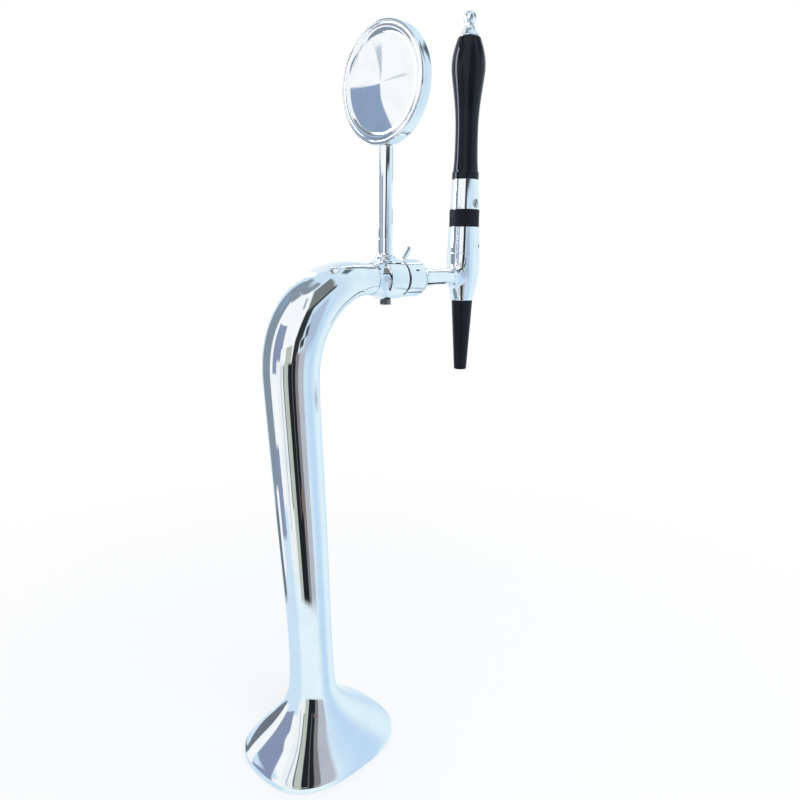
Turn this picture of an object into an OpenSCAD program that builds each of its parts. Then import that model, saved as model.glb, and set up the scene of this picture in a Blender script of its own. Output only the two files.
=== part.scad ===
// Swan-neck coffee tower with a slow-pour tap, a flow lever and a round badge.
// Millimetres. The base centre is the origin, +Z is up and the tap looks along +X.
// The tower is mirror symmetric about the plane y = 0, apart from its small screws.

/* [Base] */
// Length of the base along X
base_len = 124; // [116:1:140]
// Width of the base along Y
base_wid = 103.2; // [98:1:120]
// Squareness of the base outline, 2 is an ellipse
base_square = 2.66; // [2.2:0.02:3.2]
// Height of the upright rim of the base
rim_h = 6; // [5:0.5:9]
// Gap between the metal rim and the counter
rim_lift = 0.5; // [0.3:0.1:0.8]
// Thickness of the rubber gasket under the base
gasket_t = 2.4; // [2:0.1:3]
// Width of the gasket band
gasket_band = 8.2; // [6:0.2:8.4]
// Wall of the lip that hides the gasket
lip_wall = 3.4; // [2.5:0.1:4.5]
// Height at which the flare of the base has become the neck
flare_top = 66; // [60:1:80]
// Spacing of the fixing holes along X
fix_x = 76; // [68:1:80]
// Spacing of the fixing holes along Y
fix_y = 50; // [44:1:54]
// Tapping diameter of the fixing holes
fix_d = 6.8; // [5:0.1:8.5]
// Depth of the fixing holes
fix_depth = 9; // [6:0.5:9.5]

/* [Column] */
// Radius of the column just above the flare
neck_r = 19; // [17:0.5:20]
// Radius of the column at the fullest point of its bend
bend_r = 21.7; // [20:0.1:23]
// Wall of the column
column_wall = 3.6; // [2.5:0.1:4]
// Height of the outlet axis above the counter
outlet_z = 390.1; // [380:0.1:400]
// How far the column leans back before it bends forward
lean_back = 19.5; // [14:0.1:22]
// How far below the outlet axis the bend starts
bend_drop = 68; // [60:1:80]
// Where the bend has become the straight outlet tube
tube_x0 = 49.6; // [48:0.1:52]
// Outer radius of the straight outlet tube
tube_r = 13.7; // [13.2:0.1:14]
// Bore radius of the straight outlet tube
tube_bore_r = 11.2; // [10.9:0.1:11.3]
// Front end of the outlet tube
tube_x1 = 90; // [89:0.5:92]

/* [Product line] */
// Outer radius of the steel product line
line_r = 4; // [3.5:0.1:4.2]
// Bore radius of the product line
line_bore_r = 2.75; // [2:0.05:3]
// Lower end of the product line above the counter
line_z0 = 4; // [3:0.5:10]
// How far the line goes into the outlet bush
line_in_bush = 12; // [8:0.5:13]
// Height of the grommet that centres the line
grommet_z = 58; // [56:0.5:60]
// Thickness of that grommet
grommet_t = 8; // [5:0.5:9]

/* [Badge] */
// Length of the badge clamp, whose front is flush with the outlet tube
clamp_len = 28; // [26:0.5:30]
// Outer radius of the badge clamp
clamp_r = 16.4; // [16.2:0.1:17]
// Length of the tapered rear of the clamp
clamp_taper = 9.7; // [7:0.1:11]
// Distance of the stem axis behind the front of the clamp
stem_back = 12.5; // [12:0.1:14]
// Radius of the badge stem
stem_r = 6; // [5.5:0.1:6.5]
// Radius of the foot of the stem
foot_r = 8.5; // [8:0.1:8.8]
// Height of the foot and its flare
foot_h = 4.8; // [4:0.1:6]
// Length of the socket that the stem screws into
socket_h = 15.4; // [13:0.1:18]
// Length of the stem above its socket
stem_len = 70.6; // [60:0.1:80]
// Outer radius of the badge
badge_r = 44.5; // [42:0.1:48]
// Thickness of the badge
badge_t = 11; // [10:0.1:12]
// Width of the bezel that frames the badge's spun disc
bezel_w = 9.5; // [8.5:0.1:12]
// How far the badge's front stands ahead of the stem axis
badge_ahead = 7.1; // [6.6:0.1:7.4]

/* [Flow control] */
// Gap for the black seal in front of the tube
seal_w = 3; // [2.5:0.1:3.5]
// Length of the flow collar
collar_len = 19; // [18.5:0.1:20]
// Outer radius of the flow collar
collar_r = 15.5; // [15.3:0.1:16]
// Radius of the shank drum inside the collar
drum_r = 12; // [11.9:0.1:12.1]
// Radius of the shank's tail in the outlet bush
tail_r = 9.9; // [9.7:0.1:10]
// Length of the shank's tail
tail_len = 19; // [17:0.5:20]
// Radius of the chamber that the flow cone slides in
chamber_r = 8; // [7.8:0.05:8.1]
// Radius of the shank's narrow bore
shank_bore_r = 3.6; // [3:0.1:3.8]
// Radius of the shank tube behind the tap
shank_r = 6.9; // [6.7:0.1:7.2]
// Radius of the flow lever's pin
lever_r = 2.65; // [2.2:0.05:2.7]
// Length of the flow lever above its pivot
lever_len = 14.2; // [11:0.1:18]
// Forward tilt of the flow lever at rest
lever_tilt = 37; // [33:1:38]
// Whole swing of the flow lever
lever_swing = 57; // [50:1:58]
// Distance of the lever's pivot in front of the collar's rear face
lever_x = 4; // [3.9:0.1:4.5]
// Height of the lever's pivot above the outlet axis
lever_h = 13.7; // [13.6:0.05:13.8]
// Length of the lever's inner arm, pivot to ball
arm_len = 6.6; // [6.2:0.1:6.7]
// Radius of the ball on the inner arm
ball_r = 1.5; // [1.2:0.05:1.6]

/* [Tap] */
// Distance of the tap axis in front of the collar
tap_reach = 66.6; // [64:0.1:70]
// Where the shank tube ends, behind the tap axis
seam_back = 18.6; // [17.5:0.1:19.5]
// Radius of the tap body under its bonnet
body_r = 14.9; // [14.6:0.1:15.6]
// Height of the tap body's top above the outlet axis
body_up = 20.9; // [20:0.1:22]
// Depth of the tap body's lower end below the outlet axis
body_down = 21.9; // [21.5:0.1:23]
// Radius of the tap body's lower end
body_low_r = 9.65; // [9.4:0.05:10]
// Radius of the valve chamber
valve_chamber_r = 9; // [8.6:0.1:9.2]
// Height of the bonnet
bonnet_h = 23.3; // [22.5:0.1:25]
// Radius at the top of the bonnet
bonnet_top_r = 13.75; // [13.6:0.05:14.1]
// Length of the nozzle below the tap body
nozzle_len = 65; // [55:0.5:80]
// Outer radius of the nozzle's tip
tip_r = 5.8; // [5.2:0.1:6.5]
// Outlet radius of the nozzle
outlet_r = 3.2; // [2.5:0.1:3.6]
// Holes of the restrictor disc round its centre hole
restrictor_holes = 5; // [4:1:6]

/* [Valve] */
// Radius of the valve rod
rod_r = 3; // [2.5:0.1:3.2]
// Radius of the valve rod's nose
nose_r = 4; // [3.8:0.1:4.2]
// Distance of the fulcrum in front of the tap axis
crank = 6.6; // [6.5:0.1:7]
// Height of the fulcrum above the bonnet
fulcrum_up = 7.2; // [7:0.1:7.4]
// Radius of the fulcrum pin
fulcrum_r = 2; // [1.6:0.05:2]
// Radius of the crank pin
crank_pin_r = 1.5; // [1.3:0.05:1.6]

/* [Handle] */
// Height of the rubber boot
boot_h = 14.9; // [14.6:0.1:15.5]
// Outer radius of the rubber boot
boot_r = 13.6; // [13.4:0.1:13.8]
// Wall of the rubber boot
boot_wall = 1.5; // [1.2:0.1:1.6]
// Height of the ferrule
ferrule_h = 26; // [22:0.1:30]
// Radius of the ferrule's lower end
ferrule_low_r = 12.95; // [12.6:0.05:13.2]
// Radius of the ferrule's upper end
ferrule_top_r = 11.7; // [11.4:0.05:12]
// Height of the handle grip
grip_h = 119.5; // [105:0.5:130]
// Largest radius of the grip
grip_r = 14.75; // [13.5:0.05:16]
// Radius of the grip's waist
waist_r = 10.05; // [9.5:0.05:11]
// Radius of the ball on the finial
finial_ball_r = 5.1; // [4.5:0.1:5.6]

/* [Fits] */
// Radial clearance of turned fits
fit = 0.05; // [0.03:0.01:0.08]
// Clearance of pieces that move past each other
play = 0.3; // [0.25:0.01:0.35]

/* [Hidden] */
$fn = 64;

// Places along X
clamp_x0 = tube_x1 - clamp_len;
stem_x = tube_x1 - stem_back;
collar_x = tube_x1 + seal_w;
cone_x = collar_x + collar_len;
tap_x = cone_x + tap_reach;
seam_x = tap_x - seam_back;
pivot_x = collar_x + lever_x;
pivot_z = outlet_z + lever_h;
fulcrum_x = tap_x + crank;

// Places along Z
foot_z = outlet_z + clamp_r + 0.2;
stem_z0 = foot_z + socket_h;
stem_z1 = stem_z0 + stem_len;
badge_z = stem_z1 + badge_r - 0.1;
badge_x = stem_x - badge_ahead;
badge_x1 = badge_x + badge_t;
body_z0 = outlet_z - body_down;
body_z1 = outlet_z + body_up;
bonnet_z1 = body_z1 + bonnet_h;
fulcrum_z = bonnet_z1 + fulcrum_up;
ferrule_z = bonnet_z1 + boot_h;
grip_z = ferrule_z + ferrule_h;
grip_z1 = grip_z + grip_h;
tip_z = body_z0 - nozzle_len;

// Curves
function bez(t, a, b, c, d) =
    pow(1 - t, 3) * a + 3 * t * pow(1 - t, 2) * b + 3 * t * t * (1 - t) * c + t * t * t * d;
function bez_line(a, b, c, d, steps) = [for (i = [0 : steps]) bez(i / steps, a, b, c, d)];
function smooth(v, i, t) = let (
        n = len(v) - 1,
        p = v[max(i - 1, 0)], q = v[i], r = v[min(i + 1, n)], s = v[min(i + 2, n)])
    0.5 * (2 * q + (r - p) * t + (2 * p - 5 * q + 4 * r - s) * t * t
        + (3 * q - p - 3 * r + s) * t * t * t);

// Radius of the base outline at an angle, for half sizes a and b
function base_radius(angle, a, b) =
    pow(pow(abs(cos(angle)) / a, base_square) + pow(abs(sin(angle)) / b, base_square),
        -1 / base_square);
function base_outline(inset) = [for (i = [0 : 95]) let (w = i * 360 / 96,
        r = base_radius(w, base_len / 2 - inset, base_wid / 2 - inset))
    [r * cos(w), r * sin(w)]];

// A closed solid through rings that have as many points each
module loft(rings) {
    n = len(rings[0]);
    last = len(rings) - 1;
    polyhedron(
        points = [for (ring = rings) for (p = ring) p],
        faces = concat(
            [[for (j = [0 : n - 1]) j]],
            [for (i = [0 : last - 1]) for (j = [0 : n - 1])
                [i * n + j, (i + 1) * n + j, i * n + (j + 1) % n]],
            [for (i = [0 : last - 1]) for (j = [0 : n - 1])
                [(i + 1) * n + j, (i + 1) * n + (j + 1) % n, i * n + (j + 1) % n]],
            [[for (j = [n - 1 : -1 : 0]) last * n + j]]),
        convexity = 10);
}

// A ring of radius r about a point of the plane y = 0, square to the direction dir
function ring_at(p, dir, r, sides) = let (d = dir / norm(dir))
    [for (j = [0 : sides - 1]) let (w = j * 360 / sides)
        [p[0] + r * cos(w) * d[1], r * sin(w), p[1] - r * cos(w) * d[0]]];

// Turned pieces: profiles are [radius, place along the axis]
module turned_z(x, profile) {
    translate([x, 0, 0]) rotate_extrude() polygon(profile);
}
module turned_x(profile) {
    translate([0, 0, outlet_z]) rotate([0, 90, 0]) rotate_extrude() polygon(profile);
}
module bar_x(x0, x1, r, z = outlet_z) {
    translate([x0, 0, z]) rotate([0, 90, 0]) cylinder(h = x1 - x0, r = r);
}
module bar_y(x, z, y0, y1, r) {
    translate([x, y1, z]) rotate([90, 0, 0]) cylinder(h = y1 - y0, r = r);
}
module bar_z(x, z0, z1, r) {
    translate([x, 0, z0]) cylinder(h = z1 - z0, r = r);
}
// An O-ring and its groove cut, about the Z axis of the tap
module oring_z(z, outer, section) {
    translate([tap_x, 0, z]) rotate_extrude() translate([outer - section, 0]) circle(r = section, $fn = 24);
}
module oring_x(x, outer, section) {
    translate([x, 0, outlet_z]) rotate([0, 90, 0])
        rotate_extrude() translate([outer - section, 0]) circle(r = section, $fn = 24);
}
module groove_z(z, outer, section) {
    turned_z(tap_x, [
        [outer - 2 * section - fit, z - section - 0.1], [outer + 1, z - section - 0.1],
        [outer + 1, z + section + 0.1], [outer - 2 * section - fit, z + section + 0.1]]);
}
module groove_x(x, outer, section) {
    turned_x([
        [outer - 2 * section - fit, x - section - 0.1], [outer + 1, x - section - 0.1],
        [outer + 1, x + section + 0.1], [outer - 2 * section - fit, x + section + 0.1]]);
}
// A grub screw along +Z with a hex socket in its outer end
module grub_screw(len, r) {
    difference() {
        cylinder(h = len, r = r, $fn = 32);
        translate([0, 0, len - r]) cylinder(h = r + 1, r = r * 0.6, $fn = 6);
    }
}

// Column: spine, radii and flare
spine_z0 = 52;
spine_x0 = -7.2;
lean_z = outlet_z - bend_drop;
neck_pull = 44;
lean_pull = 32;
bend_pull = bend_drop - 24;
tube_pull = 36.5;
spine_low = [[spine_x0, spine_z0], [spine_x0 + 2, spine_z0 + neck_pull], [-lean_back, lean_z - lean_pull],
    [-lean_back, lean_z]];
spine_bend = [[-lean_back, lean_z], [-lean_back, lean_z + bend_pull], [tube_x0 - tube_pull, outlet_z],
    [tube_x0, outlet_z]];
waist_step = neck_r - 1.2;
column_radii = [neck_r, waist_step, (waist_step + bend_r) / 2 - 0.45, bend_r - 1.5, bend_r - 0.6,
    bend_r, bend_r - 0.8, (bend_r + tube_r) / 2 + 0.3, tube_r - 0.2];
function spine(u) = u < 1
    ? bez(u, spine_low[0], spine_low[1], spine_low[2], spine_low[3])
    : bez(u - 1, spine_bend[0], spine_bend[1], spine_bend[2], spine_bend[3]);
function spine_dir(u) = u < 0.01 ? spine(0.02) - spine(0)
    : u > 1.99 ? [1, 0] : spine(u + 0.005) - spine(u - 0.005);
function column_radius(u) = let (k = min(floor(u * 4), 7)) smooth(column_radii, k, u * 4 - k);

// One level ring of the flare: share 1 is the base outline, share 0 the neck
function flare_ring(z, share, r, a, b, sides) =
    [for (j = [0 : sides - 1]) let (w = j * 360 / sides, s = share * base_radius(w, a, b) + (1 - share) * r)
        [spine_x0 * (1 - share) + s * cos(w), s * sin(w), z]];
flare_low_pull = 24;
flare_high_pull = 28;
function flare_rings(r, a, b, z0, z1, sides, steps) =
    [for (i = [0 : steps]) let (t = i / steps)
        flare_ring(bez(t, z0, z0 + flare_low_pull, z1 - flare_high_pull, z1), bez(t, 1, 0.54, 0, 0),
            r, a, b, sides)];
flare_u = 0.09;
column_steps = 30;
function column_rings(skin, sides) =
    [for (i = [0 : column_steps]) let (u = flare_u + (2 - flare_u) * i / column_steps)
        ring_at(spine(u), spine_dir(u), column_radius(u) - skin, sides)];
// The land ring above the gasket is this wide
land = 14;

module column_outside() {
    a = base_len / 2;
    b = base_wid / 2;
    loft(concat(
        [flare_ring(rim_lift, 1, 0, a - 0.6, b - 0.6, 36),
            flare_ring(rim_lift + 0.7, 1, 0, a, b, 36),
            flare_ring(rim_h - 1, 1, 0, a, b, 36)],
        flare_rings(neck_r, a - 1, b - 1, rim_h, flare_top - 2, 36, 12),
        column_rings(0, 36)));
}
module column_inside() {
    a = base_len / 2 - land;
    b = base_wid / 2 - land;
    r = neck_r - column_wall;
    loft(concat(
        [flare_ring(gasket_t - 4, 1, 0, a, b, 24)],
        flare_rings(r, a, b, gasket_t, flare_top - 2, 24, 8),
        column_rings(column_wall, 24)));
}
module fix_points() {
    for (x = [-fix_x / 2, fix_x / 2]) for (y = [-fix_y / 2, fix_y / 2])
        translate([x, y, gasket_t]) children();
}
module column() color("#cfd6df") difference() {
    union() {
        difference() {
            union() {
                column_outside();
                bar_x(tube_x0 - 1.6, tube_x1, tube_r);
            }
            column_inside();
        }
        fix_points() cylinder(h = fix_depth + 1.6, r = 7.5);
    }
    bar_x(tube_x0 - 0.6, tube_x1 + 1, tube_bore_r);
    fix_points() translate([0, 0, -1]) cylinder(h = fix_depth + 1, r = fix_d / 2);
    translate([0, 0, -1]) linear_extrude(gasket_t + 1) polygon(base_outline(lip_wall));
}
module base_gasket() color("#202124") linear_extrude(gasket_t) difference() {
    polygon(base_outline(lip_wall + play));
    polygon(base_outline(lip_wall + play + gasket_band));
}

// Product line
line_bend_z = grommet_z + grommet_t + 4;
line_low = [[spine_x0, line_bend_z], [spine_x0, line_bend_z + neck_pull], spine_low[2], spine_low[3]];
function line_point(u) = u < 1 ? bez(u, line_low[0], line_low[1], line_low[2], line_low[3]) : spine(u);
function line_dir(u) = u < 0.01 ? [0, 1] : u > 1.99 ? [1, 0] : line_point(u + 0.005) - line_point(u - 0.005);
function line_rings(r, sides) =
    [for (i = [0 : 28]) let (u = i / 14) ring_at(line_point(u), line_dir(u), r, sides)];
// A bead on the line stops it under the grommet
bead_h = 2;
bush_x0 = tube_x0 + 4.4;
bush_x1 = tube_x1 - 1;
line_x1 = bush_x0 + line_in_bush;
module product_line() color("#b9bec4") difference() {
    union() {
        bar_z(spine_x0, line_z0, line_bend_z + 1, line_r);
        bar_z(spine_x0, grommet_z - bead_h, grommet_z, line_r + bead_h / 2);
        loft(line_rings(line_r - 0.06, 12));
        bar_x(tube_x0 - 1, line_x1, line_r);
    }
    bar_z(spine_x0, line_z0 - 1, line_bend_z + 0.5, line_bore_r);
    loft(line_rings(line_bore_r - 0.06, 8));
    bar_x(tube_x0 - 0.5, line_x1 + 1, line_bore_r);
}
module line_grommet() color("#2b2c2e") difference() {
    bar_z(spine_x0, grommet_z, grommet_z + grommet_t, neck_r - column_wall - 0.5);
    bar_z(spine_x0, grommet_z - 1, grommet_z + grommet_t + 1, line_r + fit);
    for (w = [0 : 90 : 270]) translate([spine_x0, 0, grommet_z - 1]) rotate(w)
        translate([(neck_r - column_wall + line_r) / 2, 0, 0]) cylinder(h = grommet_t + 2, r = 2.2);
}
module outlet_bush() color("#c9a24b") turned_x([
    [line_r + fit, bush_x0], [tube_bore_r - fit, bush_x0], [tube_bore_r - fit, bush_x1],
    [tail_r + fit, bush_x1], [tail_r + fit, collar_x - tail_len - 2], [line_bore_r, collar_x - tail_len - 2],
    [line_bore_r, line_x1 + 0.2], [line_r + fit, line_x1 + 0.2]]);

// Badge clamp on the outlet tube
clamp_spigot_r = 3;
bolt_r = 2.5;
module clamp_ring() color("#d5dae0") difference() {
    union() {
        turned_x(concat(
            [[tube_r - 2, clamp_x0], [tube_r + 1, clamp_x0]],
            bez_line([tube_r + 1, clamp_x0 + 0.6], [tube_r + 1.2, clamp_x0 + 5],
                [clamp_r - 0.6, clamp_x0 + clamp_taper - 1], [clamp_r, clamp_x0 + clamp_taper], 6),
            [[clamp_r, tube_x1 - 0.4], [clamp_r - 0.4, tube_x1], [tube_r - 2, tube_x1]]));
        turned_z(stem_x, concat(
            [[0, foot_z], [foot_r, foot_z], [foot_r, foot_z - 0.8]],
            bez_line([foot_r - 0.1, foot_z - 1], [foot_r - 0.1, foot_z - 3], [foot_r + 0.6, foot_z - 5],
                [foot_r + 2.4, foot_z - 6.2], 5),
            [[0, foot_z - 6.2]]));
    }
    bar_x(clamp_x0 - 1, tube_x1 + 1, tube_r + fit);
    bar_z(stem_x, outlet_z, foot_z + 1, clamp_spigot_r + fit);
    bar_z(stem_x + 0.5, outlet_z - clamp_r - 1, outlet_z, bolt_r + fit);
}
bolt_head_h = 4.5;
module clamp_bolt() color("#3a3d42") difference() {
    union() {
        bar_z(stem_x + 0.5, outlet_z - clamp_r - bolt_head_h, outlet_z - clamp_r, 4.5);
        bar_z(stem_x + 0.5, outlet_z - clamp_r - 1, outlet_z - tube_r - fit, bolt_r);
    }
    translate([stem_x + 0.5, 0, outlet_z - clamp_r - bolt_head_h - 1]) cylinder(h = 3.5, r = 2.3, $fn = 6);
}
stem_thread_r = 3;
module stem_socket() color("#cfd5dc") difference() {
    turned_z(stem_x, concat(
        [[0, foot_z - 2.4], [clamp_spigot_r, foot_z - 2.4], [clamp_spigot_r, foot_z], [foot_r, foot_z],
            [foot_r, foot_z + 1]],
        bez_line([foot_r - 0.3, foot_z + 1.3], [stem_r + 0.8, foot_z + 1.6], [stem_r, foot_z + foot_h - 2],
            [stem_r, foot_z + foot_h], 6),
        [[stem_r, stem_z0 - 0.3], [stem_r - 0.3, stem_z0], [0, stem_z0]]));
    bar_z(stem_x, stem_z0 - 8.2, stem_z0 + 1, stem_thread_r + fit);
}
stud_r = 2.4;
stud_h = 6.5;
module badge_stem() color("#cfd5dc") turned_z(stem_x, [
    [0, stem_z0 - 8], [stem_thread_r, stem_z0 - 8], [stem_thread_r, stem_z0], [stem_r - 0.3, stem_z0],
    [stem_r, stem_z0 + 0.3], [stem_r, stem_z1 - 0.3], [stem_r - 0.3, stem_z1], [stud_r, stem_z1],
    [stud_r, stem_z1 + stud_h], [0, stem_z1 + stud_h]]);

// Badge: profiles are [radius, depth behind the front face]
module badge_turned(profile) {
    translate([badge_x, 0, badge_z]) rotate([0, 90, 0]) rotate_extrude($fn = 96) polygon(profile);
}
disc_r = badge_r - bezel_w;
disc_back = 3.6;
badge_back_t = 3;
pocket_r = disc_r + 1;
bezel_t = 3.8;
thread_ring_r = badge_r - 4.5;
module badge_bezel() color("#dfe3e8") badge_turned(concat(
    bez_line([badge_r, 1.6], [badge_r, 0.6], [badge_r - 0.6, 0], [badge_r - 1.6, 0], 5),
    bez_line([badge_r - 1.7, 0], [badge_r - 2.7, 0], [badge_r - 3.2, 0.5], [badge_r - 3.3, 1.1], 5),
    [[badge_r - 3.7, 1.1]],
    bez_line([badge_r - 3.8, 1], [badge_r - 4, 0.4], [badge_r - 5, 0.3], [badge_r - 6.2, 0.4], 4),
    bez_line([badge_r - 6.4, 0.6], [badge_r - 7.5, 0.8], [disc_r + 0.8, 1.6], [disc_r + 0.3, 2.2], 5),
    [[disc_r, 2.25], [pocket_r + 0.85, 2.25], [pocket_r + 0.85, bezel_t - 1.4],
        [thread_ring_r, bezel_t - 1.4], [thread_ring_r, bezel_t], [badge_r, bezel_t]]));
module badge_disc() color("#e6e8ea") badge_turned([
    [0, 2], [disc_r - 0.4, 2.2], [disc_r - 0.3, 2.25], [pocket_r - 0.2, 2.25],
    [pocket_r - 0.2, disc_back], [0, disc_back]]);
module badge_pad() color("#3b3b3c") badge_turned([
    [0, disc_back], [pocket_r - 0.5, disc_back], [pocket_r - 0.5, badge_t - badge_back_t],
    [0, badge_t - badge_back_t]]);
module badge_housing() color("#d3d8de") difference() {
    badge_turned(concat(
        [[0, badge_t - badge_back_t], [pocket_r, badge_t - badge_back_t], [pocket_r, bezel_t - 1.3],
            [thread_ring_r - fit, bezel_t - 1.3], [thread_ring_r - fit, bezel_t], [badge_r, bezel_t]],
        bez_line([badge_r, badge_t - 1.2], [badge_r, badge_t - 0.5], [badge_r - 0.5, badge_t],
            [badge_r - 1.2, badge_t], 4),
        [[0, badge_t]]));
    bar_z(stem_x, badge_z - badge_r - 2, stem_z1 + stud_h + 0.4, stud_r + fit);
}

// Flow control
seal_r = collar_r + 0.1;
module seal_ring() color("#17181a") turned_x([
    [tail_r + 0.1, tube_x1], [seal_r - 1, tube_x1], [seal_r - 0.3, tube_x1 + 0.3],
    [seal_r, tube_x1 + 1], [seal_r, collar_x - 1], [seal_r - 0.3, collar_x - 0.3],
    [seal_r - 1, collar_x], [tail_r + 0.1, collar_x]]);

slot_w = 2 * lever_r + 2 * play + 0.1;
slot_front = (collar_r - lever_h) * tan(lever_tilt) + lever_r / cos(lever_tilt) + 0.5;
module lever_slot(x0, x1) {
    translate([pivot_x + x0, -slot_w / 2, outlet_z]) cube([x1 - x0, slot_w, collar_r + 1]);
}
screw_angle = 64;
screw_r = 2;
screw_x = collar_x + 9.2;
module at_collar_screw(h) {
    translate([screw_x, 0, outlet_z]) rotate([screw_angle, 0, 0]) translate([0, 0, h]) children();
}
pivot_pin_r = 1;
pin_y0 = -4.8;
pin_y1 = 6.6;
module flow_collar() color("#cdd6e2") difference() {
    turned_x([
        [drum_r + fit, collar_x], [collar_r - 0.4, collar_x], [collar_r, collar_x + 0.4],
        [collar_r, cone_x - 0.4], [collar_r - 0.4, cone_x], [drum_r + fit, cone_x]]);
    lever_slot(-lever_x - 1, slot_front);
    bar_y(pivot_x, pivot_z, pin_y0 - 0.2, collar_r, pivot_pin_r + 0.02);
    at_collar_screw(drum_r - 2) cylinder(h = 8, r = screw_r + fit);
}
module collar_screw() color("#2e3136") at_collar_screw(drum_r - 0.8) grub_screw(2.8, screw_r);

swing_x = arm_len * sin(lever_swing / 2);
seat_x0 = cone_x + 6;
seat_len = 16;
spigot_r = 5.6;
spigot_len = 8.5;
function seat_r(x) = chamber_r - (chamber_r - shank_bore_r) * (x - seat_x0) / seat_len;
module shank() color("#c3cedd") difference() {
    turned_x(concat(
        [[line_bore_r, collar_x - tail_len], [tail_r, collar_x - tail_len], [tail_r, collar_x],
            [drum_r, collar_x], [drum_r, cone_x], [collar_r - 0.5, cone_x], [collar_r - 0.1, cone_x + 0.4]],
        bez_line([collar_r - 0.2, cone_x + 0.6], [collar_r - 1.3, cone_x + 8], [chamber_r + 1.9, cone_x + 13],
            [shank_r + 1.3, cone_x + 19], 8),
        bez_line([shank_r + 1, cone_x + 21.5], [shank_r + 0.4, cone_x + 26], [shank_r, cone_x + 36],
            [shank_r, seam_x - 0.2], 5),
        [[shank_r - 0.2, seam_x], [spigot_r, seam_x], [spigot_r, seam_x + spigot_len],
            [shank_bore_r, seam_x + spigot_len], [shank_bore_r, seat_x0 + seat_len], [chamber_r, seat_x0],
            [chamber_r, collar_x - 9], [line_bore_r + 2, collar_x - 11],
            [line_bore_r + 2, collar_x - tail_len]]));
    lever_slot(-swing_x - ball_r - 0.6, swing_x + ball_r + 0.6);
    at_collar_screw(drum_r - 0.9) cylinder(h = 2, r = screw_r + fit);
    groove_x(collar_x - tail_len + 3.4, tail_r, 0.65);
    groove_x(seam_x + 4.6, spigot_r, 0.5);
}
module tail_oring() color("#1c1d1f") oring_x(collar_x - tail_len + 3.4, tail_r, 0.65);
module spigot_oring() color("#1c1d1f") oring_x(seam_x + 4.6, spigot_r, 0.5);

guide_r = chamber_r - fit;
ball_rest_x = pivot_x - swing_x;
groove_half = ball_r + play + 0.05;
groove_floor = lever_h - arm_len - ball_r - 0.4;
nose_gap = 0.5;
module flow_cone() color("#d9dbdd") difference() {
    turned_x([
        [0, ball_rest_x - groove_half - 2.6], [guide_r - 0.4, ball_rest_x - groove_half - 2.6],
        [guide_r, ball_rest_x - groove_half - 2.2], [guide_r, ball_rest_x - groove_half],
        [groove_floor, ball_rest_x - groove_half], [groove_floor, ball_rest_x + groove_half],
        [guide_r, ball_rest_x + groove_half], [guide_r, cone_x - 5.4], [guide_r - 1, cone_x - 5],
        [guide_r - 1, cone_x - 1], [seat_r(seat_x0) - nose_gap, seat_x0 - 2 * swing_x - play],
        [seat_r(seat_x0 + 13) - nose_gap, seat_x0 + 13 - 2 * swing_x - play],
        [seat_r(seat_x0 + 13) - nose_gap - 1, seat_x0 + 14 - 2 * swing_x - play],
        [0, seat_x0 + 14.4 - 2 * swing_x - play]]);
    for (w = [45 : 90 : 315]) translate([collar_x - 8, 0, outlet_z]) rotate([w, 0, 0])
        translate([0, 0, guide_r]) rotate([0, 90, 0]) cylinder(h = collar_len + 4, r = 1.9, $fn = 32);
}
// The lever is drawn upright about its pivot, then tilted
module flow_lever() color("#b8bec6") translate([pivot_x, 0, pivot_z]) difference() {
    union() {
        rotate([0, lever_tilt, 0]) {
            cylinder(h = lever_len - 0.5, r = lever_r);
            translate([0, 0, lever_len - 0.5]) cylinder(h = 0.5, r1 = lever_r, r2 = lever_r - 0.5);
        }
        rotate([90, 0, 0]) translate([0, 0, -lever_r]) cylinder(h = 2 * lever_r, r = 2.3);
        rotate([0, 180 + lever_swing / 2, 0]) {
            cylinder(h = arm_len, r = 1.1);
            translate([0, 0, arm_len]) sphere(r = ball_r, $fn = 32);
        }
    }
    rotate([90, 0, 0]) translate([0, 0, -lever_r - 1]) cylinder(h = 2 * lever_r + 2, r = pivot_pin_r + fit);
}
module lever_pin() color("#8d9299") bar_y(pivot_x, pivot_z, pin_y0, pin_y1, pivot_pin_r);

// Tap body and what it holds
socket_r = 8;
socket_depth = 6.2;
web_t = 2;
seat_h = 5;
seat_z = body_z0 + socket_depth + web_t;
valve_seat_r = 7;
module tap_body() color("#cdd3da") difference() {
    union() {
        turned_z(tap_x, concat(
            [[0, body_z0], [body_low_r - 0.2, body_z0]],
            bez_line([body_low_r, body_z0 + 0.3], [body_low_r + 2, body_z0 + 6.4],
                [body_r - 0.2, body_z0 + 20], [body_r, body_z0 + 33.8], 10),
            [[body_r - 0.1, body_z1 - 0.3], [body_r - 0.4, body_z1], [0, body_z1]]));
        turned_x(concat(
            [[0, seam_x], [shank_r - 0.2, seam_x]],
            bez_line([shank_r, seam_x + 0.3], [shank_r + 0.2, seam_x + 3], [shank_r + 1.2, seam_x + 4.6],
                [shank_r + 3.6, seam_x + 6.4], 5),
            [[shank_r + 3.6, seam_x + 9], [0, seam_x + 9]]));
    }
    bar_z(tap_x, body_z0 - 1, body_z0 + socket_depth, socket_r);
    bar_z(tap_x, body_z0, seat_z + 1, 5);
    bar_z(tap_x, seat_z, seat_z + seat_h + 1, valve_seat_r);
    bar_z(tap_x, seat_z + seat_h, body_z1 + 1, valve_chamber_r);
    bar_x(seam_x - 1, tap_x, spigot_r + fit);
}
module valve_seat() color("#ece9df") turned_z(tap_x, [
    [nose_r + fit, seat_z], [valve_seat_r - fit, seat_z], [valve_seat_r - fit, seat_z + seat_h],
    [nose_r + 0.7, seat_z + seat_h], [nose_r + fit, seat_z + seat_h - 0.7]]);

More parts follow.
